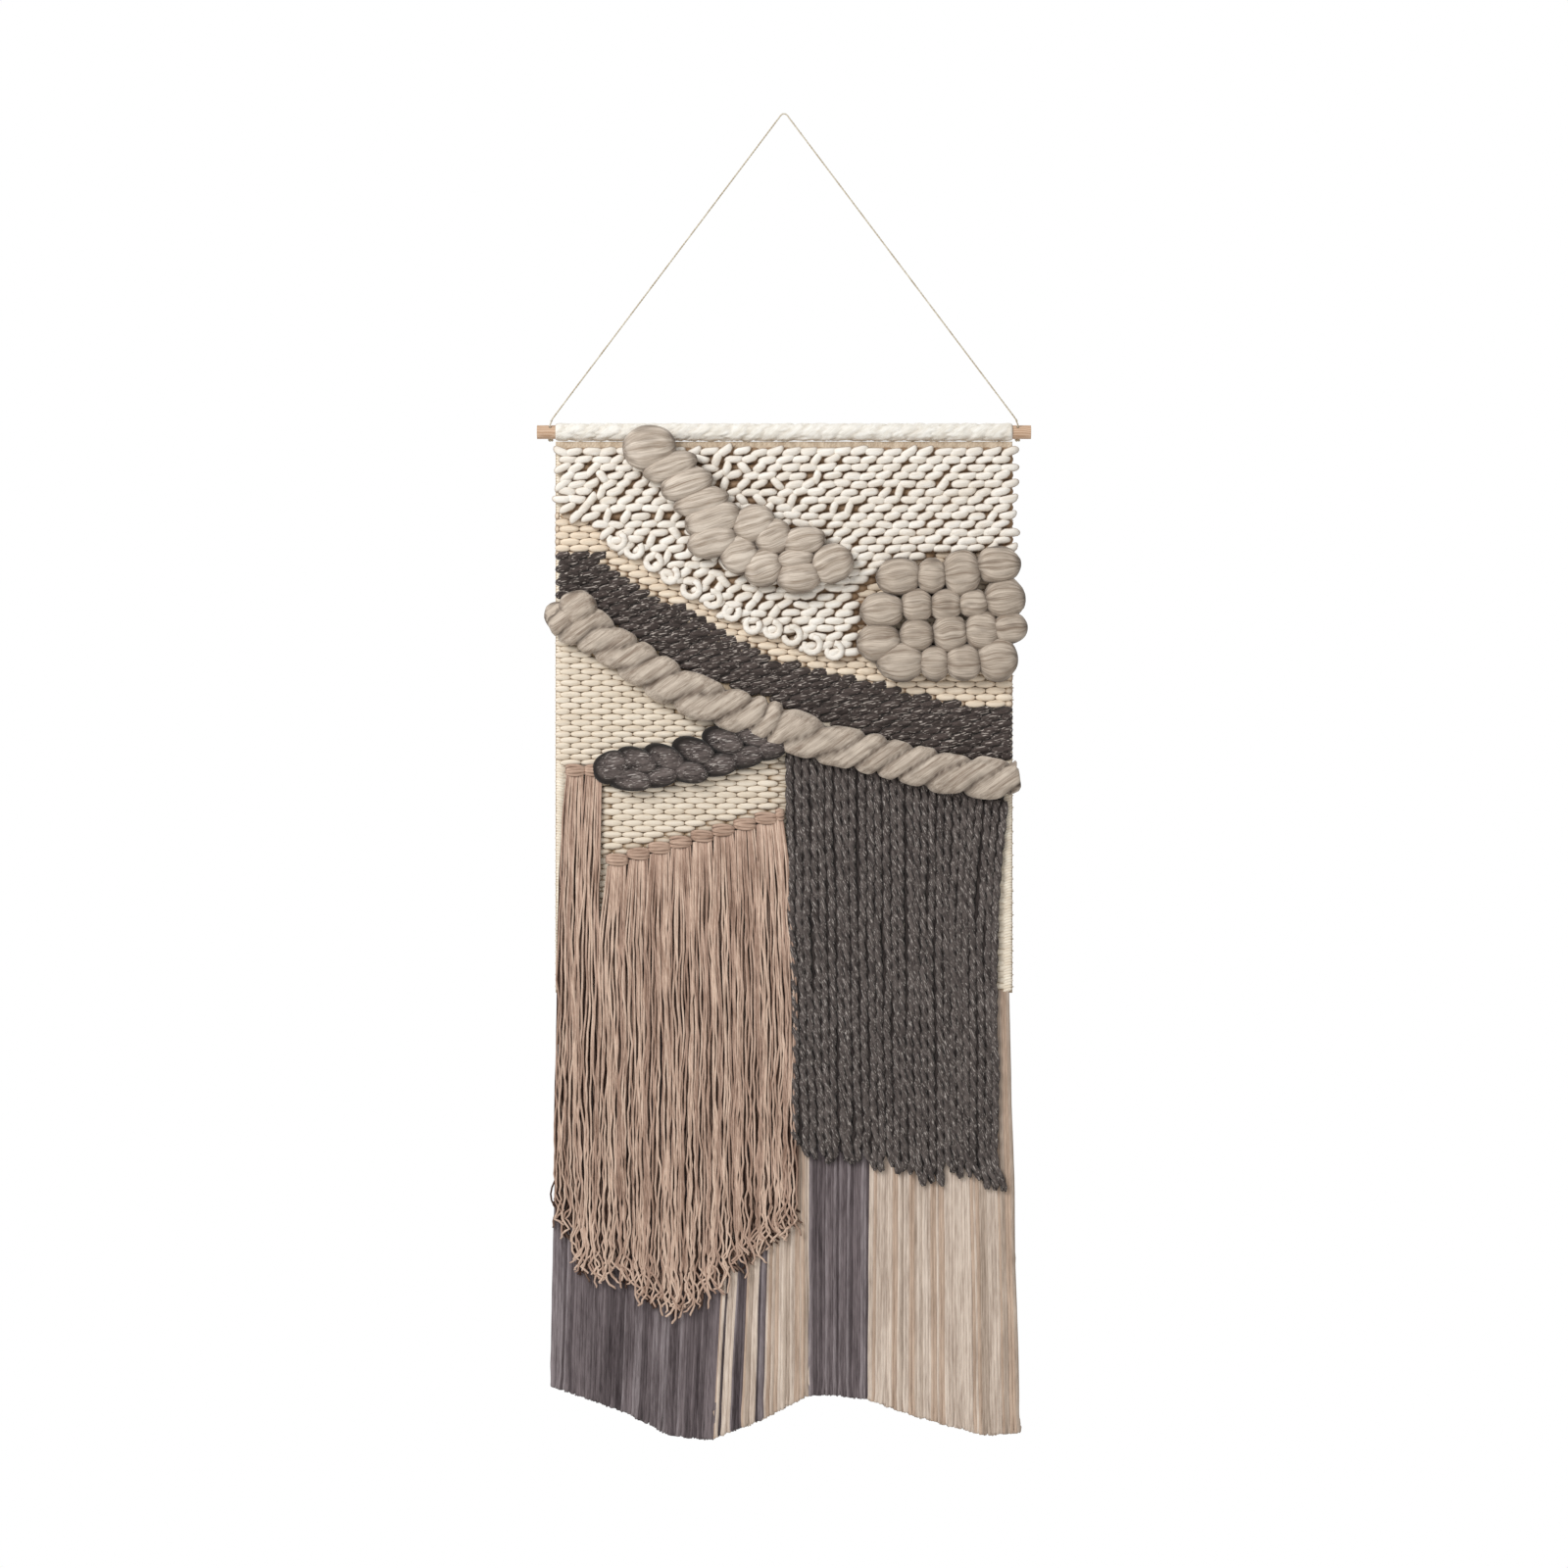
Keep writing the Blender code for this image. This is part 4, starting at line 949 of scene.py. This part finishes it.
def puff(bundle, crease_shade, combed, x, down, width, height, tilt, back, depth, dice):
    """A pillow of roving, tucked in at its ends. Its fibres run over it from tie to tie."""
    mine = bmesh.ops.create_uvsphere(bundle, u_segments=36, v_segments=26, radius=1)["verts"]
    offset = dice.uniform(0, 50)
    for vertex in mine:
        up, out, across = vertex.co
        around = math.atan2(up, -out)
        wander = 0.12 * noise.noise(Vector((across * 1.5, around, offset)))
        vertex[combed] = Vector((across * width / 2000, offset,
                                 (around + wander) * height / 2600 + offset / 9))
        rim = max(0.0, abs(up) - 0.72) / 0.28
        across = math.copysign(abs(across) ** 0.80, across)
        up = math.copysign(abs(up) ** 0.92, up)
        out = math.copysign(abs(out) ** 0.90, out)
        strand = noise.noise(Vector((across * 1.2 + offset, up * 6.5, out * 3)))
        fine = noise.noise(Vector((across * 1.6 - offset, up * 14, out * 5)))
        lump = noise.noise(Vector((across * 1.6, up * 1.6, offset)))
        swell = 1 + 0.08 * strand + 0.03 * fine + 0.06 * lump
        tie = max(0.0, abs(across) - 0.62) / 0.38
        # Painted shade at the ties, along the top and bottom edges and in the dips between strands
        vertex[crease_shade] = min(DARKEST_CREASE_SHADE, tie ** 1.4 * (0.5 + 0.9 * abs(fine)) + 0.7 * rim ** 1.5
                           + max(0.0, -strand) * 0.5)
        vertex.co = Vector((across * (1 + 0.04 * lump), out * swell, up * swell * (1 - 0.16 * across ** 2)))
    place = Vector((x / 1000, back - depth / 2, dowel_z - down / 1000))
    turn = Matrix.Translation(place) @ Matrix.Rotation(-tilt, 4, "Y")
    size = Matrix.Diagonal((width / 2000 * PUFF_SPREAD, depth / 2, height / 2000 * PUFF_SPREAD, 1))
    bmesh.ops.transform(bundle, matrix=turn @ size, verts=mine)


dice = random.Random(21)
for rows, finish in ((LEFT_PUFFS, puff_wool), (RIGHT_PUFFS, right_wool)):
    for name, row in rows.items():
        low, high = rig.box(name)
        bundle = bmesh.new()
        crease_shade = bundle.verts.layers.float.new("crease_shade")
        combed = bundle.verts.layers.float_vector.new("combed")
        for across, down, width, height, tilt in row:
            depth = high.y - low.y + 0.003 - dice.uniform(0, 0.002)
            puff(bundle, crease_shade, combed, across, down, width, height, tilt, high.y + 0.004, depth, dice)
        bmesh.ops.recalc_face_normals(bundle, faces=bundle.faces)
        fitted(solid(name.replace("puffs", "roving"), bundle), "panel", "taupe_roving", finish, [name])

# ---------------------------------------------------------------- sweep band
# A rope of the same taupe roving laid right across the weave in one long curve, wrapped over the
# warps on a slant so that it bulges in lobes with creases between.

LOBE = 0.0280  # from one crease to the next
STATION = 0.0024
# Two tufts close its left end, the outer one tucked in behind: as the puffs, then how far its back goes
# in past the band's, and its depth
TUFTS = [(-231, 188, 24, 27, 0.2, 0.002, 0.022), (-210, 180, 36, 33, 0.2, 0.001, 0.030)]
sweep_tree = reach("sweep_band")
low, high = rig.box("sweep_band")
sweep_y = (low.y + high.y) / 2
stations = []
for i in range(int((high.x - low.x - 0.002) / STATION)):
    x = low.x + 0.001 + i * STATION
    top, bottom = (edge_of(sweep_tree, x, sweep_y, way) for way in (-1, 1))
    if top and bottom:
        stations.append((x, (top + bottom) / 2, (top - bottom) / 2))
middles = [Vector((x, 0, z)) for x, z, _ in stations]


def heading(i):
    """The way that the rope runs at one station."""
    return (middles[min(i + 3, len(middles) - 1)] - middles[max(i - 3, 0)]).normalized()


route = []
halves = []
for i, (x, z, half) in enumerate(stations):
    along = heading(i)
    left_share = min(max(-x / 0.13, -0.5), 1)
    route.append(Vector((x, sweep_y, z - 0.0035 * left_share)))
    rounding = min(1.0, (x - low.x) / 0.018, (high.x - x) / 0.018)
    halves.append(half * abs(along.x) * (1.10 + 0.04 * left_share) * (1 - (1 - max(rounding, 0)) ** 2) ** 0.5)
rope = spun("sweep_roving", [(route, halves, 0)], 8)
sweep_depth = (high.y - low.y) / 2
crease_shades = []
for vertex in rope.data.vertices:
    x, y, z = vertex.co
    i = min(max(round((x - route[0].x) / STATION), 0), len(route) - 1)
    along = heading(i)
    square = Vector((-along.z, 0, along.x))
    away = vertex.co - route[i]
    up, out = away.dot(square), away.y
    half = max(halves[i], 0.004)
    run = (x - route[0].x) / max(along.x, 0.5)
    turn = (run - up * 1.05) / LOBE + 0.75 * noise.noise(Vector((run * 11, up * 16, 5)))
    share = turn % 1
    crease = 1 - abs(2 * share - 1) ** 3.2
    strand = noise.noise(Vector((share * 2 + math.floor(turn) * 7, up / half * 5.5, out / half * 3)))
    lump = noise.noise(Vector((math.floor(turn) * 3.3, 0, 2)))
    swell = 0.74 + 0.28 * crease + 0.08 * strand + 0.12 * lump * crease
    vertex.co = route[i] + along * away.dot(along) + square * up * swell
    vertex.co.y += out / half * sweep_depth * swell
    # Painted shade in each crease between lobes and in the dips between strands
    crease_shades.append(min(DARKEST_CREASE_SHADE, DARKEST_CREASE_SHADE * (1 - crease) ** 1.6 + 0.5 * max(0.0, -strand)))
rope.data.attributes.new("crease_shade", "FLOAT", "POINT").data.foreach_set("value", crease_shades)
tufts = bmesh.new()
tufts.from_mesh(rope.data)
crease_shade = tufts.verts.layers.float["crease_shade"]
combed = tufts.verts.layers.float_vector.new("combed")
for across, down, width, height, tilt, back, depth in TUFTS:
    puff(tufts, crease_shade, combed, across, down, width, height, tilt, high.y + back, depth, dice)
bmesh.ops.recalc_face_normals(tufts, faces=tufts.faces)
tufts.to_mesh(rope.data)
tufts.free()
rope.data.shade_smooth()
# Painted dark brown where it lies deep and in its creases, as painted shade.
sweep_wool = yarn_finish("sweep_roving", tint(212, 198, 182), tint(150, 133, 118), shade_colour=tint(72, 58, 48),
                         face=-0.018, root=-0.004, tilt=0.62, fineness=(55, 420, 1300), contrast=(0.36, 0.60),
                         relief=0.0014, crease_shades=True)
fitted(rope, "panel", "taupe_roving", sweep_wool, ["sweep_band"])

# ---------------------------------------------------------------- braid
# Two rows of fat charcoal tweed stitches that lean towards each other, like a plait lying on the
# cream weave. The left end fans out.

# Each stitch, in the same terms as the puffs
PLAIT = {
    "braid_upper_row": [(-176, 342, 40, 34, 0.45), (-150, 335, 46, 27, -0.32), (-122, 332, 46, 27, -0.36),
                        (-92, 325, 47, 28, -0.32), (-62, 315, 46, 28, -0.34), (-34, 308, 42, 28, -0.38)],
    "braid_lower_row": [(-158, 354, 50, 25, -0.12), (-128, 351, 44, 24, 0.14), (-98, 346, 44, 25, -0.18),
                        (-68, 339, 45, 26, 0.12), (-40, 331, 44, 25, 0.22), (-14, 323, 38, 24, 0.30)]}
PLAIT_DEPTH = 0.0112  # half of how thick a stitch is
PLAIT_LEAN = -0.20
low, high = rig.box("braid_upper_row")
plait_y = (low.y + high.y) / 2
seed = ball("plait_seed", 20, 18, 0.86)
# Painted near black on the turned sides and where the stitches lie deep, as painted shade. The pale flecks are the
# tweed's own.
braid_tweed = yarn_finish("braid_tweed", tint(118, 107, 103), tint(54, 47, 45), shade_colour=tint(32, 27, 25),
                          face=plait_y - 0.0106, root=plait_y - 0.0048, tilt=0.1, fineness=(110, 800, 1000),
                          fleck=tint(176, 168, 162), rim=0.5)
dice = random.Random(31)
for name, row in PLAIT.items():
    low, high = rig.box(name)
    plait = bmesh.new()
    for across, down, width, height, tilt in row:
        place = (across / 1000, (low.y + high.y) / 2 + dice.uniform(-1, 1) * 0.0008, dowel_z - down / 1000)
        # A touch less than its full height leaves a crease between the two rows.
        lay(plait, seed, place, (width / 2000, PLAIT_DEPTH, height / 2060), tilt=tilt, lean=PLAIT_LEAN)
    fitted(solid(name.replace("braid", "plait"), plait), "panel", "charcoal_tweed", braid_tweed, [name])

# ---------------------------------------------------------------- rose knots
# Each rose tassel is held by a flat wrap of its own yarn, four or five strands side by side.

ROSE_TINTS = {"pale": ((224, 197, 177), (172, 143, 125)),
              "mid": ((208, 179, 160), (154, 125, 108)),
              "dark": ((190, 160, 142), (136, 108, 92))}
# Each is painted dark brown on turned sides and where the yarn lies deep, as painted shade.
ROSE_SHADES = [yarn_finish(f"rose_wool_{shade}", tint(*pale), tint(*dark), shade_colour=tint(72, 48, 37),
                           face=-0.0086, root=-0.0056, tilt=0.15, fineness=(700, 700, 120),
                           contrast=(0.34, 0.62), laid="laid", rim=0.6)
               for shade, (pale, dark) in ROSE_TINTS.items()]
# The wraps are painted dark brown the same way, as painted shade.
rose_wrap = yarn_finish("rose_wrap", tint(208, 180, 160), tint(156, 127, 109), shade_colour=tint(84, 58, 46),
                        face=-0.0085, root=-0.0035, fineness=(60, 700, 900), rim=0.7)
dice = random.Random(41)
ROSE_TASSELS = 11
WRAP_STRANDS = 4
WRAP_RADII = [0.0010, 0.0014, *[0.0020] * 11, 0.0014, 0.0010]  # a strand thins where it goes in behind
for i in range(1, ROSE_TASSELS + 1):
    low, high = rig.box(f"rose_knot_{i:02d}")
    middle = (low + high) / 2
    half = Vector(((high.x - low.x) / 2 + 0.0004, (high.y - low.y) / 2, (high.z - low.z) / 2 - 0.0008))
    wraps = []
    for strand in range(WRAP_STRANDS):
        level = (strand + 0.5) / WRAP_STRANDS * 2 - 1
        slant = dice.uniform(-0.0012, 0.0012)
        wrap = []
        for step in range(len(WRAP_RADII)):
            turn = math.pi * step / (len(WRAP_RADII) - 1)
            bulge = math.sin(turn)
            wrap.append(middle + Vector((-math.cos(turn) * half.x,
                                         half.y - 2.1 * half.y * bulge ** 0.5 * (1 - 0.25 * level ** 2),
                                         level * half.z * (0.28 + 0.80 * bulge) + slant * math.cos(turn))))
        wraps.append((wrap, WRAP_RADII, 0))
    fitted(spun(f"rose_wrap_{i:02d}", wraps, 2), "panel", "rose_wool", rose_wrap, [f"rose_knot_{i:02d}"])

# ---------------------------------------------------------------- rose fringe
# Each tassel is a bunch of soft two-ply yarns, knotted at the top and cut by hand to a wavy hem,
# where the ends fray, curl and cling together. Two swing from a short side row, nine from the line.

JOINTS = {joint["child"]: joint for joint in frame["joints"]}
BEND_ABOVE, BEND_BELOW = 0.003, 0.030  # where a yarn starts to bend, above its joint, and where it is free


def bends(piece, body):
    """The piece holds to the panel above its joint and swings below it, bending between."""
    joint = JOINTS[body]
    pivot, axis = Vector(joint["pos_m"]), Vector(joint["axis"])
    down = Vector((axis.z, 0, -axis.x))
    down *= -1 if down.z > 0 else 1
    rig.blend(piece, "panel", body, start=pivot - BEND_ABOVE * down, end=pivot + BEND_BELOW * down)


def hanging(root, foot, dice, drift, curl, points, bunch, crinkle=0.0, fan=1.0):
    """The route of a yarn that hangs: a slow wander on the way down, and a loose curl at its cut end.

    drift is its own wander, bunch the one it shares with the yarns beside it and crinkle its kinks.
    With a high fan it keeps to the line of its root for most of the way.
    """
    own = dice.uniform(0, 100)
    spin = dice.choice((-1, 1))
    found = []
    for i in range(points):
        t = 1 - (1 - i / (points - 1)) ** 1.5
        place = root.lerp(foot, t)
        place.x = root.x + (foot.x - root.x) * (1 - (1 - t) ** fan)
        hold = min(1, 5 * t)  # the top fifth is held in line by the knot
        place.x += hold * crinkle * (1 + 2 * t ** 3) * dice.uniform(-1, 1)
        loose = max(0.0, t - 0.90) / 0.10  # the last tenth curls
        together = noise.noise(Vector((place.x * 55, 3.1, place.z * 9)))
        alone = noise.noise(Vector((own, 0.5, place.z * 26)))
        place.x += hold * (bunch * together + drift * alone) + spin * curl * loose * math.sin(own + 6 * loose)
        place.y += hold * 0.5 * drift * noise.noise(Vector((own + 9, place.z * 20, 1)))
        place.z += curl * 0.7 * loose * (1 + math.cos(own + 6 * loose))
        found.append(place)
    return found


def bunch_of_yarns(name, spread, layers, radius, dice, lift, uneven, spill, gather=1.0, pick=None,
                   jitter=0.25, backing=1.0, shorter=0.0, **habits):
    """The yarns of one tassel or band, hung between the top of a CAD node and its own hem.

    They start lift above the node and are gathered there, spill out past its sides at the foot, and end
    unevenly. Each layer is a little shorter than the one before, and the last of several hangs still.
    pick gives the number of each yarn's finish, and backing thickens the last layer.
    """
    tree = reach(name)
    low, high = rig.box(name)
    mesh = frame["nodes"][name].data
    tops = sorted((vertex.co for vertex in mesh.vertices if vertex.co.z > high.z - 0.03), key=lambda co: co.x)
    feet = sorted((vertex.co for vertex in mesh.vertices if vertex.co.z < low.z + 0.12), key=lambda co: co.x)
    start, end = tops[0], tops[-1]
    left, right = feet[0].x - spill, feet[-1].x + spill
    yarns = []
    for layer in range(layers):
        count = max(2, round(max(end.x - start.x, right - left) / spread))
        y = low.y + radius + (high.y - low.y - 2 * radius) * (layer / max(layers - 1, 1))
        for i in range(count):
            # Every second layer hangs in the gaps of the others.
            offset = layer % 2
            share = (i + 0.5 + 0.5 * offset * (1 - 1 / count) * 0.9) / (count + 0.5 * offset)
            share = min(max(share + dice.uniform(-jitter, jitter) / count, 0.01), 0.99)
            held = 0.5 + (share - 0.5) * gather
            root = Vector((start.x + (end.x - start.x) * held, y,
                           start.z + (end.z - start.z) * held + lift))
            foot_x = left + (right - left) * share
            over = min(max(foot_x, feet[0].x + 0.0008), feet[-1].x - 0.0008)
            hem = edge_of(tree, over, (low.y + high.y) / 2, 1) or low.z
            foot = Vector((foot_x, y, hem - dice.uniform(*uneven) + shorter * layer))
            last = layer == layers - 1
            thick = radius * dice.uniform(0.88, 1.1) * (backing if last else 1)
            still = {"crinkle": 0.0, "drift": 0.4 * habits["drift"]} if last and layers > 1 else {}
            path = hanging(root, foot, dice, **{**habits, **still})
            for place in path:
                place.y = min(max(place.y, low.y - 0.002), high.y - 0.4 * radius)
            yarns.append((path, [thick] * (len(path) - 1) + [thick * 0.7], pick() if pick else 0))
    return yarns


ROSE_SPACING = 0.0026
ROSE_RADIUS = 0.00118
ROSE_LAYERS = 3
SIDE_TASSELS = 2
dice = random.Random(51)
for i in range(1, ROSE_TASSELS + 1):
    body = "rose_side_fringe" if i <= SIDE_TASSELS else "rose_fringe"
    name = f"rose_tassel_{i:02d}"
    yarns = bunch_of_yarns(name, ROSE_SPACING, ROSE_LAYERS, ROSE_RADIUS, dice, lift=0.011,
                           uneven=(-0.010, 0.010), gather=0.90, spill=0.0040, shorter=0.0055,
                           pick=lambda: dice.choice((0, 0, 1, 1, 2)), drift=0.0026, curl=0.0075,
                           crinkle=0.0005, bunch=0.0035, points=46, fan=5.0)
    tassel = spun(f"rose_yarns_{i:02d}", yarns)
    fitted(tassel, None, "rose_wool", ROSE_SHADES, [name])
    bends(tassel, body)

# ---------------------------------------------------------------- charcoal fringe
# Thick two-ply tweed yarns, each plied from two soft singles, hanging in a close row below the sweep
# band. Their ends open into tufts.

TWEED_PITCH = 0.0079
TWEED_RADIUS = 0.0045
TWEED_PLY = 0.0029
TWEED_WIND = 0.0017
TWEED_LAY = 0.034
BEHIND = Vector((-TWEED_PITCH / 2, 0.0026, 0.008))
BEHIND_RADIUS = 0.0036
# Painted shade: the plies turn near black on their turned sides and where they lie deep. The pale flecks are the
# tweed's own.
tweed_yarn = yarn_finish("tweed_yarn", tint(108, 99, 95), tint(52, 45, 43), shade_colour=tint(22, 18, 17),
                         face=-0.0080, root=-0.0050, tilt=0.40, fineness=(1300, 900, 170),
                         fleck=tint(172, 164, 158), laid="laid", rim=0.6)
# The row behind is the same tweed painted darker, as painted shade.
tweed_in_shade = yarn_finish("tweed_in_shade", tint(66, 58, 55), tint(34, 29, 28), tilt=0.40,
                           fineness=(1300, 900, 170), laid="laid")
DRAWN_IN = 0.011  # how far the last yarn hangs in from the selvedge
dice = random.Random(61)
for i in range(1, 5):
    name = f"charcoal_fringe_{i}"
    low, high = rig.box(name)
    yarns = []
    for path, _, _ in bunch_of_yarns(name, TWEED_PITCH, 1, TWEED_RADIUS, dice, lift=0.016,
                                     uneven=(-0.006, 0.006), spill=0.0006, jitter=0.12, drift=0.0026,
                                     curl=0.003, points=22, bunch=0.0015):
        aside = DRAWN_IN * max(0.0, (path[0].x - 0.12) / 0.11)
        for step, place in enumerate(path):
            t = step / (len(path) - 1)
            place.x -= aside * min(1.0, 5 * t, 0.3 + 3.5 * (1 - t))
            place.y = (low.y + high.y) / 2 + dice.uniform(-1, 1) * 0.0003
        phase = dice.uniform(0, 2 * math.pi)
        # A second row hangs behind, each yarn in the gap between two of the front ones, in the tweed painted darker as
        # shade.
        if i > 1 or yarns:
            behind = [place + BEHIND for place in path]
            yarns.append((behind, [BEHIND_RADIUS] * (len(behind) - 2) + [0.0030, 0.0012], 1))
        for ply in (0, math.pi):
            wound = twisted(path, TWEED_WIND, TWEED_LAY, phase + ply, 9)
            yarns.append((wound, [TWEED_PLY] * (len(wound) - 3) + [0.0028, 0.0022, 0.0012], 0))
    fringe = spun(f"tweed_yarns_{i}", yarns, 2)
    fitted(fringe, None, "charcoal_tweed", [tweed_yarn, tweed_in_shade], [name])
    bends(fringe, "charcoal_fringe")

# ---------------------------------------------------------------- bottom fringe
# The warps themselves, thin cotton yarns in four colour bands, hang on below the last row of
# weaving to a deep wavy hem. They lie flat against the wall behind the other fringes.

# Each shade: its pale and dark tint, and the tint of the painted shade on its sides
WARP_TINTS = {"grey_cotton": ((126, 115, 117), (70, 61, 63), (38, 32, 33)),
              "pale_grey_cotton": ((148, 138, 140), (92, 82, 84), (48, 41, 42)),
              "beige_cotton": ((226, 210, 195), (176, 157, 142), (112, 94, 80)),
              "dull_beige_cotton": ((202, 184, 168), (154, 136, 121), (100, 82, 70)),
              "tan_cotton": ((206, 182, 162), (166, 143, 125), (104, 84, 70)),
              "dark_grey_cotton": ((102, 92, 94), (54, 46, 48), (30, 25, 26))}
# Their face and root lie far behind the wall, so that the painted shade falls only on the turned side of a yarn, not
# with its depth.
WARP_SHADES = [yarn_finish(name, tint(*pale), tint(*dark), shade_colour=tint(*shade_colour), face=0.1, root=0.2,
                           fineness=(800, 700, 60), contrast=(0.34, 0.62), rim=0.95)
               for name, (pale, dark, shade_colour) in WARP_TINTS.items()]
WARP_SPACING = 0.0029
WARP_RADIUS = 0.00140
WARP_LAYERS = 3
# Each band: its slot, and the numbers of the shades that its yarns are drawn from
BANDS = {"bottom_fringe_dark_left": ("grey_cotton", (0, 0, 1, 5)),
         "bottom_fringe_mixed": ("mixed_cotton", (2, 3, 4, 0, 2, 3, 2, 4, 5, 2, 3, 2, 1)),
         "bottom_fringe_dark_middle": ("grey_cotton", (0, 0, 1, 5)),
         "bottom_fringe_beige": ("beige_cotton", (2, 2, 3, 2, 4))}
dice = random.Random(71)
for name, (slot, shades) in BANDS.items():
    # Now and then two yarns of one shade lie together.
    drawn = (dice.choice(shades) for _ in range(900))
    in_order = [shade for shade in drawn for _ in range(dice.choice((1, 1, 1, 2)))]
    yarns = bunch_of_yarns(name, WARP_SPACING, WARP_LAYERS, WARP_RADIUS, dice, lift=0.003,
                           uneven=(-0.0005, 0.0010), spill=0.0014, pick=iter(in_order).__next__,
                           backing=1.9, drift=0.0012, curl=0.0008, crinkle=0.0006, points=40, bunch=0.0008)
    warps = spun(name.replace("bottom_fringe", "warps"), yarns)
    fitted(warps, "panel", slot, WARP_SHADES, [name])

with open("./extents.json", "w") as sizes:
    json.dump({"cad": [list(corner) for corner in CAD_BOX],
               "visual": [list(corner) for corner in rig.bounds()]}, sizes)
